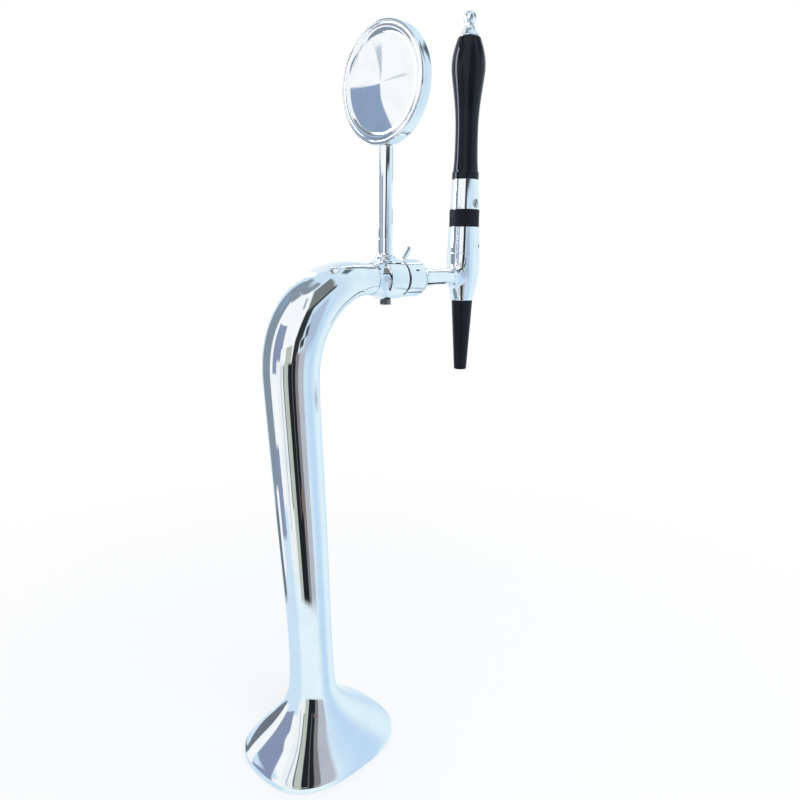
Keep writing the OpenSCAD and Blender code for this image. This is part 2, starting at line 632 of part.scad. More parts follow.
bonnet_spigot = 9;
cavity_z = body_z1 + 13;
cavity_r = 9.5;
gland_z = body_z1 + 3;
gland_r = 7;
packing_r = rod_r + fit + 1.3;
ear_in = 4.9;
ear_out = 7.2;
ear_r = 4.5;
bonnet_screw_angle = 20;
module at_bonnet_screw(h) {
    translate([tap_x, 0, body_z1 + 6.4]) rotate(-90 + bonnet_screw_angle) rotate([0, 90, 0])
        translate([0, 0, h]) children();
}
module ear_pair() {
    for (side = [-1, 1]) translate([0, side * (ear_in + ear_out) / 2, 0]) {
        bar_y(fulcrum_x, fulcrum_z, -(ear_out - ear_in) / 2, (ear_out - ear_in) / 2, ear_r);
        translate([fulcrum_x - ear_r, -(ear_out - ear_in) / 2, cavity_z - 0.5])
            cube([2 * ear_r, ear_out - ear_in, fulcrum_z - cavity_z + 0.5]);
    }
}
module bonnet() color("#cdd3da") difference() {
    union() {
        turned_z(tap_x, [
            [0, body_z1 - bonnet_spigot], [valve_chamber_r - fit, body_z1 - bonnet_spigot],
            [valve_chamber_r - fit, body_z1], [body_r - 0.5, body_z1], [body_r - 0.1, body_z1 + 0.4],
            [bonnet_top_r, bonnet_z1 - 0.3], [bonnet_top_r - 0.3, bonnet_z1], [cavity_r, bonnet_z1],
            [cavity_r, cavity_z], [0, cavity_z]]);
        intersection() {
            bar_z(tap_x, cavity_z - 1, bonnet_z1 + boot_h, boot_r - boot_wall - 0.4);
            ear_pair();
        }
    }
    bar_z(tap_x, body_z1 - bonnet_spigot - 1, cavity_z + 1, rod_r + fit);
    bar_z(tap_x, gland_z, cavity_z + 1, gland_r + fit);
    bar_z(tap_x, body_z1, gland_z + 1, packing_r + fit);
    bar_y(fulcrum_x, fulcrum_z, -ear_out - 1, ear_out + 1, fulcrum_r + 0.02);
    at_bonnet_screw(gland_r) cylinder(h = 10, r = 1.5);
    groove_z(body_z1 - 4.5, valve_chamber_r - fit, 0.7);
}
module bonnet_oring() color("#1c1d1f") oring_z(body_z1 - 4.5, valve_chamber_r - fit, 0.7);
module bonnet_screw() color("#2e3136") at_bonnet_screw(gland_r + fit) grub_screw(6.4, 1.45);
module packing_gland() color("#c9a24b") difference() {
    bar_z(tap_x, gland_z, cavity_z - 0.5, gland_r);
    bar_z(tap_x, gland_z - 1, cavity_z, rod_r + fit);
    translate([tap_x - 1, -gland_r - 1, cavity_z - 2.5]) cube([2, 2 * gland_r + 2, 3]);
}
module rod_orings() color("#1c1d1f") for (z = [body_z1 + 0.75, body_z1 + 2.2]) oring_z(z, packing_r, 0.65);

// Valve rod: a nose in the seat, a shaft through the gland, a slotted head round the crank pin
nose_z = seat_z + 3;
nose_len = 12.6;
head_w = 2.8;
head_slot_h = crank_pin_r + play;
head_slot_front = crank * (1 - cos(30)) + crank_pin_r + play;
module valve_rod() color("#d6d9dc") difference() {
    union() {
        turned_z(tap_x, [
            [0, nose_z], [nose_r - 0.5, nose_z], [nose_r, nose_z + 0.5], [nose_r, nose_z + nose_len - 1],
            [rod_r, nose_z + nose_len], [rod_r, fulcrum_z - 6.5], [0, fulcrum_z - 6.5]]);
        translate([tap_x - 3.9, -head_w, fulcrum_z - 7.5])
            cube([3.9 + head_slot_front + 1.1, 2 * head_w, 7.5 + head_slot_h + 1.5]);
    }
    translate([tap_x - crank_pin_r - play, -head_w - 1, fulcrum_z - head_slot_h])
        cube([crank_pin_r + play + head_slot_front, 2 * head_w + 2, 2 * head_slot_h]);
    groove_z(nose_z + 1.3, nose_r, 0.45);
    bar_y(tap_x, nose_z + 5, -nose_r - 1, nose_r + 1, 0.6);
    bar_z(tap_x, nose_z - 1, nose_z + 5, 0.8);
}
module spool_oring() color("#1c1d1f") oring_z(nose_z + 1.3, nose_r, 0.45);
module fulcrum_pin() color("#8d9299") bar_y(fulcrum_x, fulcrum_z, -ear_out + 0.2, ear_out - 0.2, fulcrum_r);

// Lever: two tines on the fulcrum, a hub in the ferrule and a stud in the grip
tine_in = head_w + 0.4;
tine_out = ear_in - play;
tine_t = tine_out - tine_in;
fulcrum_eye_r = 4;
crank_eye_r = 3.4;
hub_r = 8.9;
hub_h = 16.5;
hub_z = ferrule_z + 0.5;
stud_len = 30;
stud_top = grip_z + stud_len;
grip_stud_r = 4;
module tine(y0) {
    bar_y(fulcrum_x, fulcrum_z, y0, y0 + tine_t, fulcrum_eye_r);
    bar_y(tap_x, fulcrum_z, y0, y0 + tine_t, crank_eye_r);
    translate([tap_x - crank_eye_r, y0, fulcrum_z])
        cube([crank_eye_r + crank + 0.8, tine_t, hub_z - fulcrum_z + 1]);
    translate([tap_x, y0, fulcrum_z - crank_eye_r + 0.2]) cube([crank, tine_t, crank_eye_r]);
}
module tap_lever() color("#a9adb3") difference() {
    union() {
        tine(tine_in);
        tine(-tine_out);
        bar_z(tap_x, hub_z, hub_z + hub_h, hub_r);
        bar_z(tap_x, hub_z + hub_h - 1, stud_top, grip_stud_r);
    }
    bar_y(fulcrum_x, fulcrum_z, -ear_out, ear_out, fulcrum_r + fit);
    bar_y(tap_x, fulcrum_z, -ear_out, ear_out, crank_pin_r + 0.02);
}
module crank_pin() color("#8d9299") bar_y(tap_x, fulcrum_z, -tine_out, tine_out, crank_pin_r);

module boot() color("#101114") turned_z(tap_x, [
    [boot_r - boot_wall, bonnet_z1], [boot_r - 0.2, bonnet_z1], [boot_r, bonnet_z1 + 0.3],
    [boot_r, ferrule_z - 0.6], [boot_r - 0.3, ferrule_z - 0.2], [boot_r - boot_wall, ferrule_z - 0.2]]);

ferrule_screw_z = ferrule_z + 5.3;
ferrule_screw_r = 3.8;
module ferrule() color("#cdd3da") difference() {
    turned_z(tap_x, [
        [hub_r + fit, ferrule_z], [ferrule_low_r - 0.3, ferrule_z], [ferrule_low_r, ferrule_z + 0.3],
        [ferrule_top_r, grip_z], [grip_stud_r + fit, grip_z], [grip_stud_r + fit, hub_z + hub_h + 0.2],
        [hub_r + fit, hub_z + hub_h + 0.2]]);
    bar_y(tap_x, ferrule_screw_z, -20, 0, ferrule_screw_r + fit);
}
module ferrule_screw() color("#9aa0a8") difference() {
    bar_y(tap_x, ferrule_screw_z, -ferrule_low_r + 0.5, -hub_r - fit, ferrule_screw_r);
    translate([tap_x, -ferrule_low_r, ferrule_screw_z]) rotate([0, 25, 0])
        translate([-0.6, 0, -5]) cube([1.2, 1.8, 10]);
}

grip_bore_top = stud_top + 2;
finial_stud_r = 2.5;
module grip() color("#0c0d10") difference() {
    turned_z(tap_x, concat(
        [[0, grip_z], [ferrule_top_r, grip_z], [ferrule_top_r + 0.3, grip_z + 0.6],
            [ferrule_top_r + 0.3, grip_z + 5.6], [ferrule_top_r - 0.1, grip_z + 6.6]],
        bez_line([ferrule_top_r - 0.5, grip_z + 7.4], [waist_r + 0.3, grip_z + 15], [waist_r, grip_z + 24],
            [waist_r, grip_z + 0.32 * grip_h], 8),
        bez_line([waist_r, grip_z + 0.34 * grip_h], [waist_r, grip_z + 0.55 * grip_h],
            [grip_r, grip_z + 0.7 * grip_h], [grip_r, grip_z + 0.77 * grip_h], 12),
        bez_line([grip_r - 0.02, grip_z + 0.785 * grip_h], [grip_r, grip_z + 0.86 * grip_h],
            [grip_r - 3, grip_z1 - 7], [grip_r - 4.9, grip_z1 - 1], 10),
        [[grip_r - 5.5, grip_z1], [0, grip_z1]]));
    bar_z(tap_x, grip_z - 1, grip_bore_top, grip_stud_r + fit);
    bar_z(tap_x, grip_z1 - 14.4, grip_z1 + 1, finial_stud_r + fit);
}
module finial() color("#dfe3e8") {
    z = grip_z1;
    turned_z(tap_x, concat(
        [[0, z - 14], [finial_stud_r, z - 14], [finial_stud_r, z], [7.4, z], [7.4, z + 0.7], [8.3, z + 0.9],
            [8.3, z + 6]],
        bez_line([8.2, z + 6.3], [7.8, z + 7.1], [5, z + 6.9], [3.5, z + 7.4], 4),
        [for (w = [-46 : 8 : 90]) [finial_ball_r * cos(w), z + 13.1 + finial_ball_r * sin(w)]],
        [[0, z + 13.1 + finial_ball_r]]));
}

// Nozzle and its inserts
spigot_h = socket_depth - 0.2;
insert_r = 5;
insert_len = 18;
module nozzle() color("#0e0f12") difference() {
    turned_z(tap_x, [
        [0, tip_z], [tip_r - 0.8, tip_z], [tip_r - 0.2, tip_z + 0.3], [tip_r + 0.05, tip_z + 1],
        [body_low_r, body_z0 - 0.6], [body_low_r - 0.3, body_z0], [socket_r - fit, body_z0],
        [socket_r - fit, body_z0 + spigot_h], [0, body_z0 + spigot_h]]);
    turned_z(tap_x, [
        [0, tip_z - 1], [outlet_r, tip_z - 1], [outlet_r, tip_z + 22],
        [insert_r - 0.4, body_z0 + 3.2 - insert_len],
        [insert_r, body_z0 + 3.2 - insert_len], [insert_r, body_z0 + 3.2], [insert_r + 1.5, body_z0 + 3.2],
        [insert_r + 1.5, body_z0 + spigot_h + 1], [0, body_z0 + spigot_h + 1]]);
    groove_z(body_z0 + 2.6, socket_r - fit, 0.5);
}
module nozzle_oring() color("#1c1d1f") oring_z(body_z0 + 2.6, socket_r - fit, 0.5);
module restrictor_disc() color("#c9a24b") difference() {
    bar_z(tap_x, body_z0 + 3.2, body_z0 + 4.8, insert_r + 1.5 - fit);
    bar_z(tap_x, body_z0, body_z0 + 8, 0.6);
    for (i = [1 : restrictor_holes]) translate([tap_x, 0, body_z0]) rotate(i * 360 / restrictor_holes)
        translate([3, 0, 0]) cylinder(h = 8, r = 0.6, $fn = 24);
}
module flow_straightener() color("#e8e6df") difference() {
    bar_z(tap_x, body_z0 + 3.2 - insert_len, body_z0 + 3.2, insert_r - fit);
    bar_z(tap_x, body_z0 - insert_len, body_z0 + 8, 1.2);
    for (i = [1 : 6]) translate([tap_x, 0, body_z0 - insert_len]) rotate(i * 60)
        translate([3.1, 0, 0]) cylinder(h = insert_len + 8, r = 1.2, $fn = 24);
}

column();
base_gasket();
product_line();
line_grommet();
outlet_bush();
clamp_ring();
clamp_bolt();
stem_socket();
badge_stem();
badge_housing();
badge_bezel();
badge_disc();
badge_pad();
seal_ring();
flow_collar();
collar_screw();
shank();
tail_oring();
spigot_oring();
flow_cone();
flow_lever();
lever_pin();
tap_body();
valve_seat();
bonnet();
bonnet_oring();
bonnet_screw();
packing_gland();
rod_orings();
valve_rod();
spool_oring();
fulcrum_pin();
tap_lever();
crank_pin();
boot();
ferrule();
ferrule_screw();
grip();
finial();
nozzle();
nozzle_oring();
restrictor_disc();
flow_straightener();
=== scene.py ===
import math

import bmesh
import bpy
from mathutils import Matrix, Vector


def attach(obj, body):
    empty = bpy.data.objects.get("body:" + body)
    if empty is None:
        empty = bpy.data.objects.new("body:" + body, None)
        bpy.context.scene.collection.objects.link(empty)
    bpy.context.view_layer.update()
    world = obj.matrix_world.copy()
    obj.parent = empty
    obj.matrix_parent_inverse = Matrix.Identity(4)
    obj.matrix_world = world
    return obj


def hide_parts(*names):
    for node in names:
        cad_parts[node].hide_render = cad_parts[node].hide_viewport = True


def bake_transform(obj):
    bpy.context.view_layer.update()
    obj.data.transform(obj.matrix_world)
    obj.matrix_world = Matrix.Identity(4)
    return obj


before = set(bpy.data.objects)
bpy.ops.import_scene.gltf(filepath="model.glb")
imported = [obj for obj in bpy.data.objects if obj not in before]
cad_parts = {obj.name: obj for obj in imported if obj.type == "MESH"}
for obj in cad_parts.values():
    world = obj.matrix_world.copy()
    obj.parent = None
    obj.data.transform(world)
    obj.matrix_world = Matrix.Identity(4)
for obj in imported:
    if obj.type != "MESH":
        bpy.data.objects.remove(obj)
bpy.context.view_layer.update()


# Column: one cast, polished and chromed piece. An oval flange flares up into a neck that swells, leans back,
# bends forward and ends in a straight outlet tube. It is hollow, with four tapped bosses under the flange.
# Sizes are millimetres and colours are as a screen shows them, 0 to 255.
MM = 0.001
OUTLET_Z = 390.1
TUBE_X0, TUBE_X1 = 49.6, 90.0
TUBE_R = 12.3
SPINE_X0 = -7.2
NECK_R = 19.0
NECK_Z = 64
BASE_A, BASE_B = 62.0, 51.6
BASE_SQUARE = 2.66
WALL = 3.6
HOLLOW_Z = 2.4
SIDES = 64
CHROME = (247, 249, 252)


def bezier(t, a, b, c, d):
    return (1 - t) ** 3 * a + 3 * t * (1 - t) ** 2 * b + 3 * t * t * (1 - t) * c + t ** 3 * d


def spread(values, x):
    """A smooth value between listed ones, at place x in the list."""
    last = len(values) - 1
    k = min(int(x), last - 1)
    t = x - k
    p, q, r, s = (values[min(max(k + j, 0), last)] for j in (-1, 0, 1, 2))
    return 0.5 * (2 * q + (r - p) * t + (2 * p - 5 * q + 4 * r - s) * t * t + (3 * q - p - 3 * r + s) * t ** 3)


def turns_of(sides):
    return [j * 2 * math.pi / sides for j in range(sides)]


def add_mesh(name, points, faces):
    mesh = bpy.data.meshes.new(name)
    mesh.from_pydata([Vector(p) * MM for p in points], [], faces)
    piece = bpy.data.objects.new(name, mesh)
    bpy.context.scene.collection.objects.link(piece)
    tidy = bmesh.new()
    tidy.from_mesh(mesh)
    bmesh.ops.remove_doubles(tidy, verts=tidy.verts, dist=1e-7)
    bmesh.ops.recalc_face_normals(tidy, faces=tidy.faces)
    tidy.to_mesh(mesh)
    tidy.free()
    return piece


def flat(rings):
    return [p for ring in rings for p in ring]


def skin(rings, joined=False):
    """Faces between rings of as many points each. A joined skin meets its own first ring."""
    n = len(rings[0])
    faces = []
    for i in range(len(rings) if joined else len(rings) - 1):
        a, b = i * n, (i + 1) % len(rings) * n
        faces += [(a + j, a + (j + 1) % n, b + (j + 1) % n, b + j) for j in range(n)]
    return faces


def shade(piece, angle=30):
    piece.data.shade_smooth()
    piece.data.set_sharp_from_angle(angle=math.radians(angle))


def eased(profile, r, joined=False):
    """Rounds the corners of a profile of (radius, place) pairs."""
    out = []
    n = len(profile)
    for i, p in enumerate(profile):
        if not joined and i in (0, n - 1):
            out.append(p)
            continue
        a, b, c = (Vector(profile[(i + k) % n]) for k in (-1, 0, 1))
        back, on = a - b, c - b
        turn = math.pi - back.angle(on, math.pi)
        if turn < 0.25 or back.length < 1e-6 or on.length < 1e-6:
            out.append(p)
            continue
        reach = min(r * math.tan(turn / 2), 0.45 * back.length, 0.45 * on.length)
        q0, q1 = b + back.normalized() * reach, b + on.normalized() * reach
        for k in range(5):
            t = k / 4
            q = (1 - t) ** 2 * q0 + 2 * t * (1 - t) * b + t * t * q1
            out.append((q.x, q.y))
    return out


def turned(name, profile, place=(0, 0, 0), along=(0, 0, 1), ease=0.25, sides=96, joined=False):
    """A lathe-turned piece: the profile's places run along the given direction from its place."""
    along = Vector(along).normalized()
    side = Vector((0, 1, 0)) if abs(along.y) < 0.9 else Vector((1, 0, 0))
    other = along.cross(side).normalized()
    place = Vector(place)
    rings = [[place + along * z + r * (math.cos(w) * side + math.sin(w) * other) for w in turns_of(sides)]
             for r, z in eased(profile, ease, joined)]
    piece = add_mesh(name, flat(rings), skin(rings, joined))
    shade(piece)
    return piece


def join(target, *others):
    """Puts the meshes of other pieces into the target's."""
    whole = bmesh.new()
    for piece in (target, *others):
        whole.from_mesh(piece.data)
    whole.to_mesh(target.data)
    whole.free()
    for piece in others:
        bpy.data.objects.remove(piece)


def apply_modifiers(piece):
    evaluated = piece.evaluated_get(bpy.context.evaluated_depsgraph_get())
    mesh = bpy.data.meshes.new_from_object(evaluated)
    piece.modifiers.clear()
    old = piece.data
    piece.data = mesh
    bpy.data.meshes.remove(old)


def linear(red, green, blue):
    """A screen colour turned into the light it stands for."""
    share = [c / 255 for c in (red, green, blue)]
    return tuple(c / 12.92 if c < 0.041 else ((c + 0.055) / 1.055) ** 2.4 for c in share) + (1.0,)


def node_group(name, inputs, outputs):
    tree = bpy.data.node_groups.new(name, "ShaderNodeTree")
    for label, kind, value in inputs:
        socket = tree.interface.new_socket(label, in_out="INPUT", socket_type="NodeSocket" + kind)
        if value is not None:
            socket.default_value = value
    for label, kind in outputs:
        tree.interface.new_socket(label, in_out="OUTPUT", socket_type="NodeSocket" + kind)
    return tree, tree.nodes.new("NodeGroupInput"), tree.nodes.new("NodeGroupOutput")


def math_node(tree, operation, *values, clamp=False):
    node = tree.nodes.new("ShaderNodeMath")
    node.operation = operation
    node.use_clamp = clamp
    for socket, value in zip(node.inputs, values):
        if hasattr(value, "is_output"):
            tree.links.new(value, socket)
        else:
            socket.default_value = value
    return node.outputs[0]


def noise(tree, vector, scale, detail, rough):
    node = tree.nodes.new("ShaderNodeTexNoise")
    node.inputs["Detail"].default_value = detail
    node.inputs["Roughness"].default_value = rough
    tree.links.new(vector, node.inputs["Vector"])
    tree.links.new(scale, node.inputs["Scale"])
    return node.outputs["Fac"]


marks, m_in, m_out = node_group("Handling marks", [
    ("Vector", "Vector", None), ("Roughness", "Float", 0.04), ("Smudge", "Float", 0.05),
    ("Smudge size", "Float", 60.0), ("Grain", "Float", 0.01), ("Grain size", "Float", 1500.0)],
    [("Roughness", "Float"), ("Smudge", "Float"), ("Height", "Float")])
smudge = noise(marks, m_in.outputs["Vector"], m_in.outputs["Smudge size"], 4.0, 0.6)
smudge = math_node(marks, "MULTIPLY", math_node(marks, "SUBTRACT", smudge, 0.48), 4.0, clamp=True)
grain = noise(marks, m_in.outputs["Vector"], m_in.outputs["Grain size"], 2.0, 0.5)
rougher = math_node(marks, "MULTIPLY", smudge, m_in.outputs["Smudge"])
rougher = math_node(marks, "ADD", rougher, math_node(marks, "MULTIPLY", grain, m_in.outputs["Grain"]))
marks.links.new(math_node(marks, "ADD", m_in.outputs["Roughness"], rougher), m_out.inputs["Roughness"])
marks.links.new(smudge, m_out.inputs["Smudge"])
marks.links.new(grain, m_out.inputs["Height"])


def finish(name, colour, marked, metallic=0.0, rough=0.04, smudge=0.05, smudge_size=60.0, grain=0.01,
           grain_size=1500.0, bump=0.02, **plain):
    """A finish whose colour shifts to marked, and whose roughness rises, where it was handled."""
    material = bpy.data.materials.new(name)
    material.use_nodes = True
    tree = material.node_tree
    shader = tree.nodes["Principled BSDF"]
    where = tree.nodes.new("ShaderNodeTexCoord")
    place = tree.nodes.new("ShaderNodeGroup")
    place.node_tree = marks
    tree.links.new(where.outputs["Object"], place.inputs["Vector"])
    for label, value in (("Roughness", rough), ("Smudge", smudge), ("Smudge size", smudge_size),
                         ("Grain", grain), ("Grain size", grain_size)):
        place.inputs[label].default_value = value
    tree.links.new(place.outputs["Roughness"], shader.inputs["Roughness"])
    tint = tree.nodes.new("ShaderNodeMix")
    tint.data_type = "RGBA"
    tint.inputs["A"].default_value = linear(*colour)
    tint.inputs["B"].default_value = linear(*marked)
    tree.links.new(place.outputs["Smudge"], tint.inputs["Factor"])
    tree.links.new(tint.outputs["Result"], shader.inputs["Base Color"])
    relief = tree.nodes.new("ShaderNodeBump")
    relief.inputs["Strength"].default_value = bump
    relief.inputs["Distance"].default_value = 0.1 * MM
    tree.links.new(place.outputs["Height"], relief.inputs["Height"])
    tree.links.new(relief.outputs["Normal"], shader.inputs["Normal"])
    shader.inputs["Metallic"].default_value = metallic
    for label, value in plain.items():
        shader.inputs[label.replace("_", " ")].default_value = value
    return material


def coat(piece, material):
    piece.data.materials.clear()
    piece.data.materials.append(material)


def hand_over(piece, body, material, node):
    """The piece moves with its body and stands for its CAD node."""
    coat(piece, material)
    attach(piece, body)
    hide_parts(node)


lean, lean_z = 19.5, OUTLET_Z - 68
low_x, low_z = (SPINE_X0, SPINE_X0 + 2, -lean, -lean), (52, 96, lean_z - 32, lean_z)
bend_x, bend_z = (-lean, -lean, TUBE_X0 - 36.5, TUBE_X0), (lean_z, lean_z + 44, OUTLET_Z, OUTLET_Z)
column_radii = (NECK_R, 17.8, 19.3, 20.2, 21.1, 21.7, 20.9, 17.8, TUBE_R + 0.8)


def spine(u):
    xs, zs = (low_x, low_z) if u < 1 else (bend_x, bend_z)
    t = u if u < 1 else u - 1
    return Vector((bezier(t, *xs), 0, bezier(t, *zs)))


def spine_ring(u, depth):
    ahead = (spine(min(u + 0.005, 2)) - spine(u - 0.005)).normalized()
    across = Vector((ahead.z, 0, -ahead.x))
    r = spread(column_radii, u * 4) - depth
    return [spine(u) + r * (math.cos(w) * across + math.sin(w) * Vector((0, 1, 0))) for w in turns_of(SIDES)]


def tube_ring(x, r):
    return [Vector((x, r * math.sin(w), OUTLET_Z - r * math.cos(w))) for w in turns_of(SIDES)]


def flare_ring(z, share, r, a, b):
    ring = []
    for w in turns_of(SIDES):
        c, s = math.cos(w), math.sin(w)
        edge = (abs(c / a) ** BASE_SQUARE + abs(s / b) ** BASE_SQUARE) ** (-1 / BASE_SQUARE)
        out = share * edge + (1 - share) * r
        ring.append(Vector((SPINE_X0 * (1 - share) + out * c, out * s, z)))
    return ring


def rim_ring(z, inset):
    return flare_ring(z, 1, 0, BASE_A - inset, BASE_B - inset)


def flare_rings(depth, inset, z0, steps):
    return [flare_ring(bezier(i / steps, z0, z0 + 24, NECK_Z - 28, NECK_Z), bezier(i / steps, 1, 0.54, 0, 0),
                       NECK_R - depth, BASE_A - inset, BASE_B - inset) for i in range(steps + 1)]


outside = [rim_ring(z, d) for z, d in ((0.5, 0.9), (0.5, 0.6), (0.75, 0.2), (1.2, 0), (1.8, 0), (3.4, 0),
                                       (4.7, 0), (5.2, 0.1), (5.75, 0.5))]
outside += flare_rings(0, 1, 6, 18)
outside += [spine_ring(0.09 + 1.91 * i / 40, 0) for i in range(40)]
outside += [tube_ring(x, r) for x, r in ((TUBE_X0, TUBE_R + 0.8), (54, TUBE_R + 0.3), (60, TUBE_R))]
outside += [tube_ring(x, TUBE_R) for x in (68, 76, 84, 88, TUBE_X1 - 0.5)]
outside += [tube_ring(TUBE_X1, TUBE_R - d) for d in (0.3, 0.5, 1)]
inside = [tube_ring(x, TUBE_R - 1.2) for x in (TUBE_X1 - 0.3, 88, 70, 52)]
inside += [spine_ring(2 - 1.91 * i / 24, WALL) for i in range(1, 25)]
inside += reversed(flare_rings(WALL, 14, HOLLOW_Z, 8))
inside += [rim_ring(z, d) for z, d in ((HOLLOW_Z, 13.4), (HOLLOW_Z, 3.9), (HOLLOW_Z, 3.4), (1.9, 3.4),
                                       (0.9, 3.4), (0.5, 3.1))]
rings = outside + inside
column = add_mesh("column_casting", flat(rings), skin(rings, joined=True))
smoother = column.modifiers.new("Polish", "SUBSURF")
smoother.levels = smoother.render_levels = 2
apply_modifiers(column)
BOSS_X, BOSS_Y, BOSS_Z = 38, 25, HOLLOW_Z + 10.6
BOSS_R, BOLT_R, BOLT_Z = 7.5, 3.4, HOLLOW_Z + 9
boss = [(BOLT_R, HOLLOW_Z), (BOSS_R, HOLLOW_Z), (BOSS_R, BOSS_Z), (0, BOSS_Z), (0, BOLT_Z), (BOLT_R, BOLT_Z)]
join(column, *(turned("boss", boss, (x, y, 0), ease=0.4, sides=48, joined=True)
               for x in (-BOSS_X, BOSS_X) for y in (-BOSS_Y, BOSS_Y)))
shade(column, 40)
chrome_column = finish("column chrome", CHROME, (240, 243, 247), 1.0, 0.02, 0.03, 45.0, 0.01, 1200.0)
hand_over(column, "tower", chrome_column, "column")


# Base gasket: a band of black rubber, cut from sheet, that lies inside the lip of the flange. The four bolts
# squeeze it on the counter, which keeps spills out of the hole below.
def coat_node(node, material):
    """Gives a CAD piece, whose own mesh is kept, its material."""
    coat(bpy.data.objects[node], material)


black_rubber = finish("black rubber", (27, 28, 32), (38, 39, 43), 0.0, 0.5, 0.12, 160.0, 0.1, 2500.0, 0.2)
coat_node("base_gasket", black_rubber)


# Line grommet: a moulded black rubber plug in the foot of the neck. It rests on a bead of the product line and
# holds it in the middle, and four holes through it let the hollow breathe.
coat_node("line_grommet", black_rubber)


# Product line: a drawn stainless steel tube, bent to follow the neck inside the column. Its lower end stands free
# for the hose under the counter, and its upper end is pushed into the outlet bush.
coat_node("product_line", finish("steel tube", (206, 209, 213), (190, 193, 198), 1.0, 0.22, 0.1, 80.0, 0.05))


# Outlet bush: turned from brass bar and pressed into the end of the outlet tube. The product line ends in its
# back, and the shank's tail in its front.
brass = finish("brass", (214, 181, 104), (186, 150, 78), 1.0, 0.24, 0.12, 120.0, 0.05)
coat_node("outlet_bush", brass)


# Badge clamp: a turned and bored chromed brass ring that slides over the outlet tube, hollowed into a flare
# behind and flat in front. A foot for the stem is cast on top of it.
CLAMP_R = 16.4
CLAMP_X0 = 60.5
STEM_X = 77.5
FOOT_Z = 406.7
FOOT_R = 8.5
FOOT_REACH = 11.6
AXIS = (0, 0, OUTLET_Z)
ALONG_X = (1, 0, 0)
BORE = TUBE_R + 0.05
CLAMP_PULL, FOOT_PULL = 1.9, 0.9
SUNK = 0.02


def curve(steps, *points):
    """A cubic curve through a first and a last point, as a list of pairs."""
    return [tuple(bezier(i / steps, *(p[k] for p in points)) for k in (0, 1)) for i in range(steps + 1)]


flare = curve(24, (TUBE_R + 0.45, CLAMP_X0), (TUBE_R + 0.8, CLAMP_X0 + 5), (TUBE_R + 2.3, CLAMP_X0 + 8),
              (CLAMP_R - 0.35, CLAMP_X0 + 9.5))
clamp = turned("badge_clamp", [(BORE, CLAMP_X0 - 0.2), (TUBE_R + 0.4, CLAMP_X0 - 0.2)] + flare
               + [(CLAMP_R, CLAMP_X0 + 9.9), (CLAMP_R, TUBE_X1 - 0.4), (CLAMP_R - 0.4, TUBE_X1), (BORE, TUBE_X1)],
               AXIS, ALONG_X, 0.4, 160, joined=True)


def radius_at(line, place):
    """The radius of a line of (radius, place) pairs at a place."""
    for (r0, z0), (r1, z1) in zip(line, line[1:]):
        if place <= z1:
            return r0 + (r1 - r0) * max(place - z0, 0) / (z1 - z0)
    return line[-1][0]


def fillet(top, foot, sides=96, steps=16):
    """Rings of a skirt between two surfaces. top and foot give its edge at a turn, and the way it sets out."""
    pulls = [[Vector(at(w, pull)) for at, pull in ((top, 0), (top, 1), (foot, 1), (foot, 0))]
             for w in turns_of(sides)]
    return [[bezier(i / steps, *four) for four in pulls] for i in range(steps + 1)]


def on_clamp(w, back):
    r = FOOT_REACH - CLAMP_PULL * back
    x, y = STEM_X + r * math.cos(w), r * math.sin(w)
    return (x, y, OUTLET_Z - SUNK + math.sqrt(radius_at(flare + [(CLAMP_R, CLAMP_X0 + 9.9)], x) ** 2 - y * y))


def on_foot(w, down):
    return (STEM_X + FOOT_R * math.cos(w), FOOT_R * math.sin(w), FOOT_Z - 0.35 - FOOT_PULL * down)


rings = [[Vector((STEM_X + r * math.cos(w), r * math.sin(w), FOOT_Z - d)) for w in turns_of(96)]
         for r, d in ((3.05, 0), (FOOT_R - 0.4, 0), (FOOT_R - 0.2, 0.06), (FOOT_R - 0.05, 0.18))]
rings += fillet(on_foot, on_clamp)
foot = add_mesh("foot", flat(rings), skin(rings))
shade(foot, 50)
join(clamp, foot)
shade(clamp, 40)
chrome_fittings = finish("fitting chrome", CHROME, (238, 241, 246), 1.0, 0.025, 0.04, 90.0, 0.012, 1800.0)
hand_over(clamp, "tower", chrome_fittings, "clamp_ring")


# Clamp bolt: a cap screw of blackened steel with a hexagon socket. It is driven up through the ring from below,
# until its end bears on the outlet tube.
dark_steel = finish("blackened steel", (132, 128, 128), (104, 102, 104), 1.0, 0.2, 0.12, 250.0, 0.06)
coat_node("clamp_bolt", dark_steel)


# Stem socket: the lower length of the stem, turned with a flared foot, polished and chromed. Its spigot sits in
# the clamp's foot, and its top is tapped for the stem.
STEM_R = 6.0
SEAM_Z = FOOT_Z + 15.4
STEM_TOP = SEAM_Z + 70.6
STEM_PLACE = (STEM_X, 0, 0)
socket = turned("stem_foot", [(0, FOOT_Z), (FOOT_R, FOOT_Z), (FOOT_R, FOOT_Z + 0.9)]
                + curve(12, (FOOT_R - 0.2, FOOT_Z + 1.25), (STEM_R + 0.9, FOOT_Z + 1.6), (STEM_R, FOOT_Z + 2.6),
                        (STEM_R, FOOT_Z + 4.8))
                + [(STEM_R, SEAM_Z - 0.3), (STEM_R - 0.3, SEAM_Z), (0, SEAM_Z)], STEM_PLACE)
hand_over(socket, "tower", chrome_fittings, "stem_socket")


# Badge stem: a straight round bar, polished and chromed. It screws into its socket with a fine seam, and the stud
# on its top goes into the badge.
STUD_R, STUD_Z = 2.4, STEM_TOP + 6.5
stem = turned("stem_bar", [(0, SEAM_Z), (STEM_R - 0.3, SEAM_Z), (STEM_R, SEAM_Z + 0.3), (STEM_R, STEM_TOP - 0.3),
                           (STEM_R - 0.3, STEM_TOP), (STUD_R, STEM_TOP), (STUD_R, STUD_Z), (0, STUD_Z)], STEM_PLACE)
hand_over(stem, "tower", chrome_fittings, "badge_stem")


